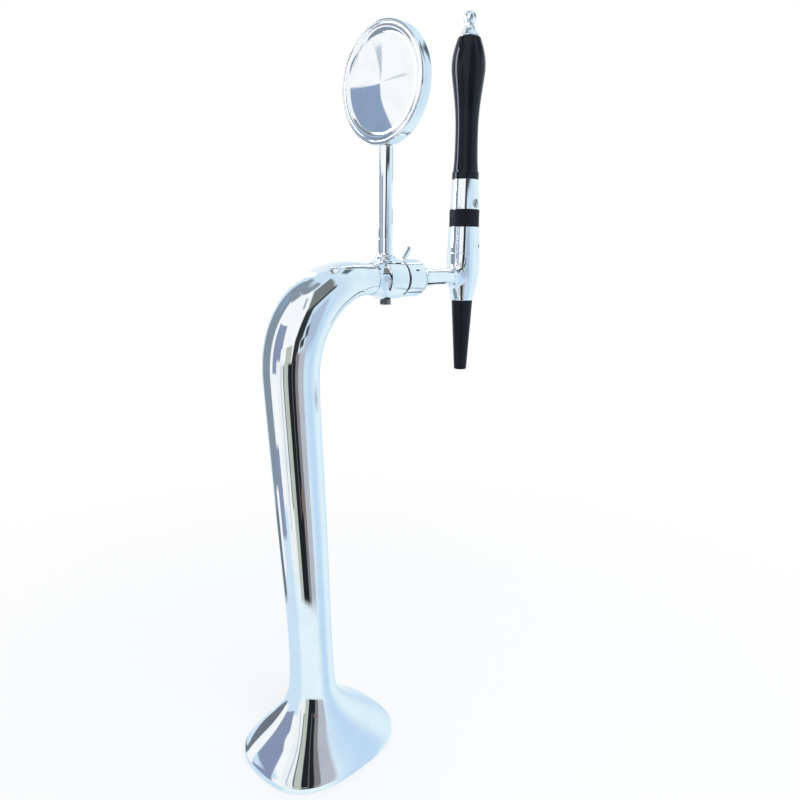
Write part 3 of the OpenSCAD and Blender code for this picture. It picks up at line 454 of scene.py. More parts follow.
# Badge bezel: a stepped ring, turned, polished and chromed. It screws onto the housing, and its lip holds the
# disc in.
BADGE_PLACE = (70.4, 0, 537.1)
BADGE_R = 44.5
DISC_R = 35.0
SEAT_X = 2.4
bezel = turned("badge_ring", curve(8, (BADGE_R, 1.6), (BADGE_R, 0.6), (BADGE_R - 0.6, 0), (BADGE_R - 1.6, 0))
               + curve(8, (BADGE_R - 1.7, 0), (BADGE_R - 2.7, 0), (BADGE_R - 3.2, 0.5), (BADGE_R - 3.3, 1.1))
               + [(BADGE_R - 3.7, 1.1)]
               + curve(8, (BADGE_R - 3.8, 1.0), (BADGE_R - 4, 0.4), (BADGE_R - 5, 0.3), (BADGE_R - 6.2, 0.4))
               + curve(12, (BADGE_R - 6.4, 0.45), (BADGE_R - 7.5, 0.8), (DISC_R + 0.8, 1.6), (DISC_R + 0.3, 2.2))
               + [(DISC_R, 2.25), (DISC_R + 1.85, 2.25), (DISC_R + 1.85, SEAT_X), (BADGE_R - 4.5, SEAT_X),
                  (BADGE_R - 4.5, 3.75), (BADGE_R, 3.75)], BADGE_PLACE, ALONG_X, 0.12, 192, joined=True)
shade(bezel, 35)
chrome_badge = finish("badge chrome", CHROME, (240, 242, 246), 1.0, 0.025, 0.035, 70.0, 0.012, 1800.0)
hand_over(bezel, "tower", chrome_badge, "badge_bezel")


# Badge housing: a shallow shell, turned and chromed, closed behind. It holds the pad and the disc, and a hole in
# its rim takes the stem's stud.
HOUSING_X = 11
housing = turned("badge_back", [(0, 8), (DISC_R + 1, 8), (DISC_R + 1, 2.5), (BADGE_R - 4.6, 2.5),
                                (BADGE_R - 4.6, 3.8), (BADGE_R, 3.8)]
                 + curve(8, (BADGE_R, HOUSING_X - 1.4), (BADGE_R, HOUSING_X - 0.5), (BADGE_R - 0.6, HOUSING_X),
                         (BADGE_R - 1.4, HOUSING_X))
                 + [(0, HOUSING_X)], BADGE_PLACE, ALONG_X, 0.12, 192)
shade(housing, 35)
hand_over(housing, "tower", chrome_badge, "badge_housing")


# Badge disc: blank sheet steel, spun to a very shallow cone and polished on the lathe, so its shine runs in
# turned lines.
disc = turned("badge_face", [(0, 0.9), (0.4, 0.93), (DISC_R - 0.4, 2.2), (DISC_R + 0.8, 2.25), (DISC_R + 0.8, 3.6),
                             (0, 3.6)], BADGE_PLACE, ALONG_X, 0.05, 192)
spun_steel = finish("spun steel", (250, 251, 253), (241, 243, 246), 1.0, 0.05, 0.02, 60.0, 0.02, 2500.0,
                    Anisotropic=0.6, Anisotropic_Rotation=0.25)
turned_lines = spun_steel.node_tree.nodes.new("ShaderNodeTangent")
turned_lines.direction_type = "RADIAL"
turned_lines.axis = "X"
spun_steel.node_tree.links.new(turned_lines.outputs["Tangent"],
                               spun_steel.node_tree.nodes["Principled BSDF"].inputs["Tangent"])
hand_over(disc, "tower", spun_steel, "badge_disc")


# Badge pad: a round of foam rubber, cut from sheet. It fills the housing behind the disc and presses it against
# the bezel's lip, so that nothing rattles.
coat_node("badge_pad", black_rubber)


# Seal ring: a moulded ring of black rubber on the shank's tail, squeezed between the clamped tube's end and the
# flow collar, where it shows as a black line.
coat_node("seal_ring", black_rubber)


# Flow collar: a sleeve, turned and chromed, that fits round the shank's drum. The flow lever swings in the slot on
# top of it, and holes in its side take the collar screw and the lever pin.
COLLAR_X = 93.0
CONE_X = 112.0
COLLAR_R = 15.5
DRUM_R = 12.0
PIVOT = Vector((97.0, 0, 403.8))
SLOT_X, SLOT_HALF = 102.2, 2.95
SCREW_TURN = math.radians(64)
SCREW_BORE, PIN_BORE = 2.05, 1.02


def block(x0, y0, z0, x1, y1, z1):
    points = [(x, y, z) for x in (x0, x1) for y in (y0, y1) for z in (z0, z1)]
    return add_mesh("cutter", points, [(0, 1, 3, 2), (4, 6, 7, 5), (0, 4, 5, 1), (2, 3, 7, 6), (0, 2, 6, 4),
                                       (1, 5, 7, 3)])


def cut(piece, *tools):
    for tool in tools:
        step = piece.modifiers.new("Cut", "BOOLEAN")
        step.operation = "DIFFERENCE"
        step.solver = "EXACT"
        step.object = tool
    apply_modifiers(piece)
    for tool in tools:
        bpy.data.objects.remove(tool)


def true_normals(piece, normal_at):
    """Gives faces that lie along a known surface that surface's own normals, so a cut leaves no dents."""
    shade(piece, 35)
    mesh = piece.data
    corners = [n.vector.copy() for n in mesh.corner_normals]
    for face in mesh.polygons:
        for k in face.loop_indices:
            n = normal_at(mesh.vertices[mesh.loops[k].vertex_index].co / MM)
            if n and n.dot(face.normal) > 0.97:
                corners[k] = n
    mesh.normals_split_custom_set(corners)


def out_of_collar(p):
    out = Vector((0, p.y, p.z - OUTLET_Z))
    return out.normalized() if out.length > 1e-6 else None


collar = turned("flow_sleeve", [(DRUM_R + 0.05, COLLAR_X), (COLLAR_R - 0.4, COLLAR_X), (COLLAR_R, COLLAR_X + 0.4),
                                (COLLAR_R, CONE_X - 0.4), (COLLAR_R - 0.4, CONE_X), (DRUM_R + 0.05, CONE_X)],
                AXIS, ALONG_X, 0.25, 160, joined=True)
screw_way = Vector((0, -math.sin(SCREW_TURN), math.cos(SCREW_TURN)))
cut(collar, block(91, -SLOT_HALF, OUTLET_Z + 9, SLOT_X, SLOT_HALF, OUTLET_Z + 20),
    turned("cutter", [(0, 9), (SCREW_BORE, 9), (SCREW_BORE, 20), (0, 20)], (SLOT_X, 0, OUTLET_Z), screw_way, 0.01,
           48),
    turned("cutter", [(0, -5), (PIN_BORE, -5), (PIN_BORE, 16), (0, 16)], PIVOT, (0, 1, 0), 0.01, 32))
true_normals(collar, out_of_collar)
hand_over(collar, "tower", chrome_fittings, "flow_collar")


# Collar screw: a short grub screw of blackened steel with a hexagon socket, sunk in the collar's side. It bears on
# the drum and locks the collar there.
coat_node("collar_screw", dark_steel)


# Shank: turned from one bar and chromed, with a drum inside the collar, a hollow-cheeked cone and a straight tube
# whose spigot goes into the back of the tap.
SHANK_R = 6.9
SHANK_END = 160.0
SPIGOT_R, SPIGOT_END = 5.6, SHANK_END + 8.5
CHAMBER_R, NARROW_R = 8, 3.6
cheek = curve(32, (COLLAR_R - 0.2, CONE_X + 0.8), (11.4, CONE_X + 4.2), (9.4, CONE_X + 7.5), (8.6, CONE_X + 12))
throat = curve(16, (8.5, CONE_X + 12.6), (7.7, CONE_X + 17.5), (SHANK_R, CONE_X + 24), (SHANK_R, CONE_X + 32))
shank = turned("tap_shank", [(CHAMBER_R, COLLAR_X), (DRUM_R, COLLAR_X), (DRUM_R, CONE_X - 0.1), (DRUM_R, CONE_X),
                             (COLLAR_R - 0.5, CONE_X), (COLLAR_R - 0.1, CONE_X + 0.4)]
               + cheek + throat
               + [(SHANK_R, SHANK_END - 0.2), (SHANK_R - 0.2, SHANK_END), (SPIGOT_R, SHANK_END),
                  (SPIGOT_R, SPIGOT_END), (NARROW_R, SPIGOT_END), (NARROW_R, CONE_X + 22), (CHAMBER_R, CONE_X + 6)],
               AXIS, ALONG_X, 0.2, 128, joined=True)
cut(shank, block(91.75, -SLOT_HALF, OUTLET_Z, SLOT_X + 0.05, SLOT_HALF, OUTLET_Z + 20))
shade(shank, 35)
hand_over(shank, "tower", chrome_fittings, "shank")


# Shank seals: two moulded rubber rings in turned grooves. One seals the shank's tail in the outlet bush, and the
# other its spigot in the tap.
coat_node("tail_oring", black_rubber)
coat_node("spigot_oring", black_rubber)


# Flow lever: one piece, turned and chromed. Its pin stands out of the slot for the finger, its hub turns on a
# cross pin, and its ball-ended arm reaches down into the flow cone.
PIN_R, PIN_LENGTH = 2.85, 14.2
HUB_R, HUB_HALF = 2.3, 2.65
BALL_R, BALL_REACH = 1.5, 6.6
PIN_LEAN, ARM_LEAN = math.radians(37), math.radians(28.5)
lever_way = Vector((math.sin(PIN_LEAN), 0, math.cos(PIN_LEAN)))
arm_way = Vector((-math.sin(ARM_LEAN), 0, -math.cos(ARM_LEAN)))
ball = [(BALL_R * math.cos(a), BALL_REACH + BALL_R * math.sin(a)) for a in map(math.radians, range(-42, 91, 12))]
lever = turned("flow_pin", [(0, 0), (PIN_R, 0), (PIN_R, PIN_LENGTH - 0.4), (PIN_R - 0.4, PIN_LENGTH),
                            (0, PIN_LENGTH)], PIVOT, lever_way, 0.15, 64)
join(lever, turned("hub", [(0, -HUB_HALF), (HUB_R, -HUB_HALF), (HUB_R, HUB_HALF), (0, HUB_HALF)], PIVOT, (0, 1, 0),
                   0.2, 48),
     turned("arm", [(0, 0), (1.1, 0), (1.1, 5.6)] + ball + [(0, BALL_REACH + BALL_R)], PIVOT, arm_way, 0.1, 32))
shade(lever)
hand_over(lever, "restrictor_lever", chrome_fittings, "flow_lever")


# Lever pin: a ground steel pin, pushed through the collar from one side and across its slot. The flow lever's hub
# turns on it.
pin_steel = finish("pin steel", (196, 199, 204), (176, 180, 186), 1.0, 0.24, 0.1, 200.0, 0.05)
coat_node("lever_pin", pin_steel)


# Flow cone: a plug machined from white plastic, with a ring groove for the lever's ball and four grooves along it
# that let the drink by. It slides in the shank and narrows the way.
white_plastic = finish("white plastic", (236, 233, 224), (222, 218, 206), 0.0, 0.38, 0.08, 90.0, 0.06)
coat_node("flow_cone", white_plastic)


# Tap body: a cast, polished and chromed brass body that swells from its nozzle socket to the bonnet. The
# shank runs into its back through a cast fillet.
TAP_X = 178.6
BODY_Z0, BODY_Z1 = 368.2, 411.0
SOCKET_R, SOCKET_Z = 8, BODY_Z0 + 13.2
TAP_PLACE = (TAP_X, 0, 0)
PORT_REACH, PORT_PULL, SHANK_PULL = 11.6, 1.7, 2.6
body_curve = curve(28, (9.65, BODY_Z0 + 0.3), (11.65, BODY_Z0 + 6.4), (14.7, BODY_Z0 + 20), (14.9, BODY_Z0 + 33.8))
body = turned("tap_casting", [(SOCKET_R, BODY_Z0), (9.4, BODY_Z0)] + body_curve
              + [(14.85, BODY_Z1 - 0.4), (14.5, BODY_Z1), (9, BODY_Z1), (9, SOCKET_Z), (SOCKET_R, SOCKET_Z)],
              TAP_PLACE, ease=0.2, sides=128, joined=True)


def on_body(w, back):
    r = PORT_REACH - PORT_PULL * back
    y, z = r * math.sin(w), OUTLET_Z + r * math.cos(w)
    return (TAP_X + SUNK - math.sqrt(radius_at(body_curve, z) ** 2 - y * y), y, z)


def on_shank(w, pull):
    return (SHANK_END + 0.25 + SHANK_PULL * pull, SHANK_R * math.sin(w), OUTLET_Z + SHANK_R * math.cos(w))


rings = [[Vector((x, r * math.sin(w), OUTLET_Z + r * math.cos(w))) for w in turns_of(96)]
         for r, x in ((SPIGOT_R + 0.1, SHANK_END), (SHANK_R - 0.3, SHANK_END), (SHANK_R - 0.1, SHANK_END + 0.08))]
rings += fillet(on_shank, on_body)
join(body, add_mesh("port", flat(rings), skin(rings)))
shade(body, 40)
chrome_tap = finish("tap chrome", CHROME, (238, 241, 246), 1.0, 0.02, 0.035, 80.0, 0.01, 1600.0)
hand_over(body, "tower", chrome_tap, "tap_body")


# Flow straightener: a white plastic plug with one long hole down the middle and six round it. It is pushed into
# the top of the nozzle's bore, and calms the stream.
coat_node("flow_straightener", white_plastic)


# Restrictor disc: a thin brass disc, drilled with fine holes, that lies in the nozzle's mouth over the
# straightener. It knocks the gas out of the drink and makes it creamy.
coat_node("restrictor_disc", brass)


# Valve seat: a ring machined from white plastic, bevelled inside and pressed into the floor of the body's
# chamber. The valve rod's nose slides down into it and shuts the tap.
coat_node("valve_seat", white_plastic)


# Nozzle: one tapered moulding of black plastic with a long bore. Its spigot is pushed up into the tap body, where
# a rubber ring in a groove holds and seals it.
TIP_Z = BODY_Z0 - 65
OUTLET_R, INSERT_R, SPIGOT_FIT_R = 3.2, 5, SOCKET_R - 0.05
nozzle = turned("pour_nozzle", [(OUTLET_R, TIP_Z), (5.0, TIP_Z), (5.6, TIP_Z + 0.3), (5.85, TIP_Z + 1),
                                (9.65, BODY_Z0 - 0.6), (9.35, BODY_Z0), (SPIGOT_FIT_R, BODY_Z0),
                                (SPIGOT_FIT_R, BODY_Z0 + 6), (INSERT_R, BODY_Z0 + 6), (INSERT_R, BODY_Z0 - 14.8),
                                (OUTLET_R, TIP_Z + 22)],
                TAP_PLACE, ease=0.3, sides=96, joined=True)
black_nozzle = finish("nozzle plastic", (22, 23, 32), (28, 29, 38), 0.0, 0.3, 0.08, 90.0, 0.06, 1800.0,
                      Specular_IOR_Level=0.14)
hand_over(nozzle, "tower", black_nozzle, "nozzle")
coat_node("nozzle_oring", black_rubber)


# Bonnet: a cap, turned and chromed, whose spigot goes down into the body over a rubber ring. Its two ears carry
# the fulcrum pin, and a small blackened grub screw in its side locks the packing gland.
coat_node("bonnet", chrome_tap)
coat_node("bonnet_oring", black_rubber)
coat_node("bonnet_screw", dark_steel)


# Packing gland: a turned brass plug with a screwdriver slot, let into the bonnet. Under it lie two moulded rubber
# rings, which seal the valve rod as it slides.
coat_node("packing_gland", brass)
coat_node("rod_orings", black_rubber)


# Boot: a soft rubber band that closes the gap between bonnet and ferrule.
BONNET_Z1 = 434.3
FERRULE_Z = 449.2
BOOT_R, BOOT_WALL, BOOT_WAIST = 13.6, 1.5, 0.1
boot_z = FERRULE_Z - 0.2
heights = [BONNET_Z1 + 0.2 + (FERRULE_Z - BONNET_Z1 - 0.6) * i / 16 for i in range(17)]
boot = turned("rubber_boot", [(BOOT_R - BOOT_WALL, BONNET_Z1), (BOOT_R - 0.15, BONNET_Z1)]
              + [(BOOT_R - BOOT_WAIST * (1 - (i / 8 - 1) ** 2), z) for i, z in enumerate(heights)]
              + [(BOOT_R - 0.3, boot_z), (BOOT_R - BOOT_WALL, boot_z)]
              + [(BOOT_R - BOOT_WALL, boot_z - (boot_z - BONNET_Z1) * i / 8) for i in range(1, 8)],
              TAP_PLACE, ease=0.15, joined=True)
coat(boot, finish("boot rubber", (24, 25, 32), (31, 32, 39), 0.0, 0.42, 0.1, 140.0, 0.08, 2200.0, 0.1,
                  Specular_IOR_Level=0.12))
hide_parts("boot")
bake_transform(boot)


# Valve rod: turned from steel bar and ground. A rubber ring on its nose seals in the seat, its shaft runs up
# through the gland, and the crank pin lifts it by the slot in its head.
coat_node("valve_rod", pin_steel)
coat_node("spool_oring", black_rubber)


# Tap lever: machined from steel, with two tines on the fulcrum pin between the bonnet's ears, a hub in the ferrule
# and a stud in the grip. The crank pin is pressed through the tines and lifts the valve rod.
coat_node("tap_lever", pin_steel)
coat_node("crank_pin", pin_steel)
coat_node("fulcrum_pin", pin_steel)


# Ferrule: a cone, turned, polished and chromed, that slips over the lever's hub. A slotted steel screw in its side
# holds it there.
GRIP_Z = 475.2
FERRULE_R, FERRULE_TOP_R = 12.95, 11.75
HUB_BORE, HUB_Z1, STUD_BORE = 8.95, FERRULE_Z + 17.2, 4.05
HOLE_R, HOLE_Z = 3.85, FERRULE_Z + 5.3
ferrule = turned("handle_ferrule", [(HUB_BORE, FERRULE_Z), (FERRULE_R - 0.3, FERRULE_Z),
                                    (FERRULE_R, FERRULE_Z + 0.3), (FERRULE_TOP_R, GRIP_Z - 0.1), (11.6, GRIP_Z),
                                    (STUD_BORE, GRIP_Z), (STUD_BORE, HUB_Z1), (HUB_BORE, HUB_Z1)],
                 TAP_PLACE, ease=0.2, sides=128, joined=True)
cut(ferrule, turned("cutter", [(0, -20), (HOLE_R, -20), (HOLE_R, -8), (0, -8)], (TAP_X, 0, HOLE_Z), (0, 1, 0), 0.01,
                    64))


def out_of_ferrule(p):
    out = Vector((p.x - TAP_X, p.y, 0))
    if out.length < 1e-6:
        return None
    out.normalize()
    out.z = (FERRULE_R - FERRULE_TOP_R) / (GRIP_Z - FERRULE_Z)
    return out.normalized()


true_normals(ferrule, out_of_ferrule)
hand_over(ferrule, "handle", chrome_tap, "ferrule")
coat_node("ferrule_screw", finish("screw steel", (176, 180, 186), (150, 154, 160), 1.0, 0.26, 0.1, 220.0, 0.06))


# Grip: a turned handle, lacquered in high gloss black, waisted above its foot ring and full near the top. It is
# screwed down on the lever's stud.
GRIP_H = 119.5
GRIP_TOP = GRIP_Z + GRIP_H - 3
RING_R, WAIST_R, FULL_R = 12.0, 10.05, 14.75
foot_ring = [(0, GRIP_Z), (RING_R - 0.3, GRIP_Z), (RING_R, GRIP_Z + 0.6), (RING_R, GRIP_Z + 5.6),
             (11.6, GRIP_Z + 6.6)]
waist = curve(24, (11.2, GRIP_Z + 7.4), (10.35, GRIP_Z + 15), (WAIST_R, GRIP_Z + 24),
              (WAIST_R, GRIP_Z + 0.33 * GRIP_H))
belly = curve(32, (WAIST_R, GRIP_Z + 0.34 * GRIP_H), (WAIST_R, GRIP_Z + 0.55 * GRIP_H),
              (FULL_R, GRIP_Z + 0.7 * GRIP_H), (FULL_R, GRIP_Z + 0.77 * GRIP_H))
shoulder = curve(28, (FULL_R, GRIP_Z + 0.78 * GRIP_H), (FULL_R, GRIP_Z + 0.86 * GRIP_H), (12.1, GRIP_TOP - 7),
                 (10.1, GRIP_TOP - 1))
grip = turned("handle_grip", foot_ring + waist + belly + shoulder + [(9.3, GRIP_TOP), (0, GRIP_TOP)], TAP_PLACE,
              ease=0.4, sides=96)
black_grip = finish("grip lacquer", (20, 21, 30), (25, 26, 35), 0.0, 0.1, 0.06, 60.0, 0.03, 1400.0,
                    Specular_IOR_Level=0.22)
hand_over(grip, "handle", black_grip, "grip")


# Finial: turned and chromed, a hollow-sided cone with a ball on top. Its stud is screwed down into the top of the
# grip.
CONE_R, CONE_NECK = 8.9, 3.75
FINIAL_R, FINIAL_Z = 5.8, GRIP_TOP + 15.4
FINIAL_STUD_R, FINIAL_STUD_Z = 2.5, GRIP_TOP - 11
finial_cone = curve(14, (CONE_R, GRIP_TOP + 1), (7.6, GRIP_TOP + 3), (5.6, GRIP_TOP + 5), (4.6, GRIP_TOP + 8.2))
finial_ball = [(FINIAL_R * math.cos(w), FINIAL_Z + FINIAL_R * math.sin(w))
               for w in map(math.radians, range(-50, 90, 4))]
finial = turned("handle_finial", [(0, FINIAL_STUD_Z), (FINIAL_STUD_R, FINIAL_STUD_Z), (FINIAL_STUD_R, GRIP_TOP),
                                  (CONE_R, GRIP_TOP), (CONE_R + 0.2, GRIP_TOP + 0.5)]
                + finial_cone + [(CONE_NECK, GRIP_TOP + 9.2)] + finial_ball + [(0, FINIAL_Z + FINIAL_R)],
                TAP_PLACE, ease=0.25, sides=96)
shade(finial, 35)
hand_over(finial, "handle", chrome_tap, "finial")


# Camera: at the photograph's place, behind the tower and to one side, looking a little down at it. The picture
# keeps its colours as they are rendered.
lens = bpy.data.cameras.new("camera")
lens.sensor_width = 36
lens.lens = 29.48
lens.clip_start = 0.01
camera = bpy.data.objects.new("camera", lens)
looking = Vector((0.7017, 0.6773, -0.2210))
right, up = Vector((0.6958, -0.7182, 0.0082)), Vector((0.1532, 0.1595, 0.9752))
turn = Matrix((right, up, -looking)).transposed().to_4x4()
turn.translation = Vector((-305.9, -388.3, 411.9)) * MM
camera.matrix_world = turn
bpy.context.scene.collection.objects.link(camera)
bpy.context.scene.camera = camera
bpy.context.scene.view_settings.view_transform = "Standard"


# Studio tent: a round light tent whose cloth carries soft white, grey and dark flags, open to a pale sky. Only
# mirrored rays see it; the picture's own background stays white paper.
FRONT = math.atan2(-0.6773, -0.7017)
WHITE = (252, 254, 255)
TENT_R = 280.0
TENT_LOW, TENT_TOP = -300.0, 1050.0
CLOTH = (208, 231, 247)
# Each flag: turn from the front and half width in degrees, height and half height, softness, lean, colour
wall_flags = [
    (-165, 22, 500, 900, 40, 0, (236, 247, 252)),
    (5, 50, -100, 260, 50, 0, (232, 249, 254)),
    (126, 22, 100, 700, 60, 0, (226, 246, 254)),
    (82, 14, 0, 400, 40, 0, (196, 223, 246)),
    (120, 12, 240, 10, 8, 0, (182, 197, 210)),
    (-103, 27, 575, 485, 14, 0, (136, 150, 162)),
    (-106, 12, 590, 70, 24, 0, (141, 163, 190)),
    (-24, 52, 560, 470, 10, 0, WHITE),
    (-72, 20, 880, 150, 14, 0.09, (142, 154, 165)),
    (-48, 17, 405, 115, 5, 0, (139, 152, 180)),
    (-32, 3, 330, 60, 4, 0, WHITE),
    (-7, 10, 300, 95, 4, 0, (190, 196, 186)),
    (13, 9, 300, 120, 5, 0.05, (48, 52, 57)),
    (29, 12, 480, 90, 10, 0.1, (48, 52, 57)),
    (58, 27, 540, 22, 10, 0, (66, 68, 70)),
    (58, 27, 730, 175, 12, 0.02, (122, 126, 126)),
    (62, 17, 395, 80, 18, 0, (176, 195, 216)),
    (44, 4, 400, 22, 6, 0, (70, 76, 84)),
    (34, 6, 370, 16, 5, 0, (66, 66, 68)),
    (29, 9, 310, 24, 6, 0, (128, 112, 100)),
    (11, 4, 715, 95, 8, 0, (160, 166, 186)),
    (118, 11, 690, 60, 18, 0, (88, 104, 118)),
    (-35, 14, 165, 175, 8, 0, (243, 247, 245)),
    (-34, 1.5, 190, 130, 4, 0.03, (188, 196, 216)),
    (-22, 1.8, 205, 115, 4, 0, (92, 104, 108)),
    (-13, 7, 145, 187, 4, 0, (188, 196, 186)),
    (37, 16, 150, 190, 14, 0, (186, 190, 199)),
    (25, 6, 150, 190, 5, 0, (132, 130, 130)),
    (7, 13, 140, 182, 5, 0, (34, 38, 42)),
    (9, 1, 200, 120, 4, 0, (104, 108, 104)),
    (22, 6, 105, 16, 6, 0, (130, 112, 104)),
    (-76, 12, 110, 60, 5, 0, (139, 152, 180)),
    (-120, 15, 35, 65, 8, 0, (112, 120, 130)),
    (-97, 8, 60, 60, 5, 0, WHITE),
]
# The same above the tent, with elevations in degrees
sky_flags = [
    (-40, 100, 73, 11, 6, 0, (139, 150, 161)),
    (-20, 42, 54, 12, 4, 0, WHITE),
    (40, 22, 62, 6, 3, 0, (238, 242, 242)),
]
flag, f_in, f_out = node_group("Tent flag", [
    ("Along", "Float", 0.0), ("Height", "Float", 0.0), ("Full turn", "Float", 360.0), ("Centre", "Float", 0.0),
    ("Half width", "Float", 10.0), ("Centre height", "Float", 0.0), ("Half height", "Float", 10.0),
    ("Softness", "Float", 2.0), ("Lean", "Float", 0.0), ("Behind", "Color", None), ("Flag", "Color", None)],
    [("Colour", "Color")])


def edge(tree, distance, half, soft):
    inside = math_node(tree, "SUBTRACT", half, math_node(tree, "ABSOLUTE", distance))
    step = math_node(tree, "DIVIDE", inside, soft)
    return math_node(tree, "ADD", math_node(tree, "MULTIPLY", step, 0.5), 0.5, clamp=True)


rise = math_node(flag, "SUBTRACT", f_in.outputs["Height"], f_in.outputs["Centre height"])
across = math_node(flag, "SUBTRACT", math_node(flag, "SUBTRACT", f_in.outputs["Along"], f_in.outputs["Centre"]),
                   math_node(flag, "MULTIPLY", rise, f_in.outputs["Lean"]))
half_turn = math_node(flag, "MULTIPLY", f_in.outputs["Full turn"], 0.5)
across = math_node(flag, "WRAP", across, half_turn, math_node(flag, "MULTIPLY", half_turn, -1.0))
cover = math_node(flag, "MULTIPLY", edge(flag, across, f_in.outputs["Half width"], f_in.outputs["Softness"]),
                  edge(flag, rise, f_in.outputs["Half height"], f_in.outputs["Softness"]))
mixed = flag.nodes.new("ShaderNodeMix")
mixed.data_type = "RGBA"
flag.links.new(cover, mixed.inputs["Factor"])
flag.links.new(f_in.outputs["Behind"], mixed.inputs["A"])
flag.links.new(f_in.outputs["Flag"], mixed.inputs["B"])
flag.links.new(mixed.outputs["Result"], f_out.inputs["Colour"])


def hang(tree, place, across_scale, up, up_scale, flags):
    """Paints flags on a cloth, by the turn of the place round the vertical and its height."""
    parts = tree.nodes.new("ShaderNodeSeparateXYZ")
    tree.links.new(place, parts.inputs[0])
    degrees = math_node(tree, "DEGREES", math_node(tree, "ARCTAN2", parts.outputs["Y"], parts.outputs["X"]))
    along = math_node(tree, "MULTIPLY", math_node(tree, "SUBTRACT", degrees, math.degrees(FRONT)), across_scale)
    height = math_node(tree, "MULTIPLY", up(tree, parts.outputs["Z"]), up_scale)
    colour = None
    for turn, half, high, tall, soft, lean, paint in flags:
        cloth = tree.nodes.new("ShaderNodeGroup")
        cloth.node_tree = flag
        tree.links.new(along, cloth.inputs["Along"])
        tree.links.new(height, cloth.inputs["Height"])
        for label, value in (("Full turn", 360 * across_scale), ("Centre", turn * across_scale),
                             ("Half width", half * across_scale), ("Centre height", high), ("Half height", tall),
                             ("Softness", soft), ("Lean", lean * across_scale), ("Flag", linear(*paint))):
            cloth.inputs[label].default_value = value
        if colour is None:
            cloth.inputs["Behind"].default_value = linear(*CLOTH)
        else:
            tree.links.new(colour, cloth.inputs["Behind"])
        colour = cloth.outputs["Colour"]
    return colour


def hide_but_mirrored(piece):
    """Only mirrored rays see the piece."""
    piece.visible_camera = piece.visible_diffuse = piece.visible_transmission = piece.visible_shadow = False


tent_rings = [[Vector((TENT_R * math.cos(w), TENT_R * math.sin(w), z)) for w in turns_of(128)]
              for z in (TENT_LOW, TENT_TOP)]
tent = add_mesh("tent", flat(tent_rings), skin(tent_rings))
tent.data.shade_smooth()
cloth = bpy.data.materials.new("tent cloth")
cloth.use_nodes = True
tree = cloth.node_tree
tree.nodes.remove(tree.nodes["Principled BSDF"])
where = tree.nodes.new("ShaderNodeTexCoord")
colour = hang(tree, where.outputs["Object"], math.radians(1) * TENT_R, lambda tree, z: z, 1 / MM, wall_flags)
shine = tree.nodes.new("ShaderNodeEmission")
tree.links.new(colour, shine.inputs["Color"])
tree.links.new(shine.outputs["Emission"], tree.nodes["Material Output"].inputs["Surface"])
coat(tent, cloth)
hide_but_mirrored(tent)


# Sky: what a mirror sees above the tent, an even light for matt surfaces, and plain white behind the tower, as
# paper would give.
world = bpy.data.worlds.new("tent sky")
bpy.context.scene.world = world
world.use_nodes = True
sky = world.node_tree
mirrored_sky = sky.nodes["Background"]
where = sky.nodes.new("ShaderNodeTexCoord")
colour = hang(sky, where.outputs["Generated"], 1.0, lambda tree, z: math_node(tree, "ARCSINE", z), 180 / math.pi,
              sky_flags)
sky.links.new(colour, mirrored_sky.inputs["Color"])
even_light = sky.nodes.new("ShaderNodeBackground")
even_light.inputs["Color"].default_value = linear(250, 252, 255)
even_light.inputs["Strength"].default_value = 0.82
white = sky.nodes.new("ShaderNodeBackground")
white.inputs["Color"].default_value = (1, 1, 1, 1)
ray = sky.nodes.new("ShaderNodeLightPath")
mirrored = math_node(sky, "MAXIMUM", ray.outputs["Is Glossy Ray"], ray.outputs["Is Transmission Ray"])
in_mirror = sky.nodes.new("ShaderNodeMixShader")
sky.links.new(mirrored, in_mirror.inputs["Fac"])
sky.links.new(even_light.outputs["Background"], in_mirror.inputs[1])
sky.links.new(mirrored_sky.outputs["Background"], in_mirror.inputs[2])
to_camera = sky.nodes.new("ShaderNodeMixShader")
sky.links.new(ray.outputs["Is Camera Ray"], to_camera.inputs["Fac"])
sky.links.new(in_mirror.outputs["Shader"], to_camera.inputs[1])
sky.links.new(white.outputs["Background"], to_camera.inputs[2])
sky.links.new(to_camera.outputs["Shader"], sky.nodes["World Output"].inputs["Surface"])


# Backdrop card: a white card that glows by itself, with three grey streaks painted on it as crease shade. It hangs
# about 20 cm to the left of the badge, as the camera sees it, for the badge's disc to mirror, and glows only on the
# side that faces the tower.
def put_up(name, points, faces, paint, face_to):
    card = add_mesh(name, points, faces)
    face = card.data.polygons[0]
    if (Vector(face_to) * MM - face.center).dot(face.normal) < 0:
        card.data.flip_normals()
    material = bpy.data.materials.new(name)
    material.use_nodes = True
    tree = material.node_tree
    tree.nodes.remove(tree.nodes["Principled BSDF"])
    # The card glows in its paint colour by itself, and no lamp lights it.
    glow = tree.nodes.new("ShaderNodeEmission")
    glow.inputs["Color"].default_value = linear(*paint)
    one_sided = tree.nodes.new("ShaderNodeMixShader")
    tree.links.new(tree.nodes.new("ShaderNodeNewGeometry").outputs["Backfacing"], one_sided.inputs["Fac"])
    tree.links.new(glow.outputs["Emission"], one_sided.inputs[1])
    tree.links.new(tree.nodes.new("ShaderNodeBsdfTransparent").outputs["BSDF"], one_sided.inputs[2])
    tree.links.new(one_sided.outputs["Shader"], tree.nodes["Material Output"].inputs["Surface"])
    coat(card, material)
    hide_but_mirrored(card)


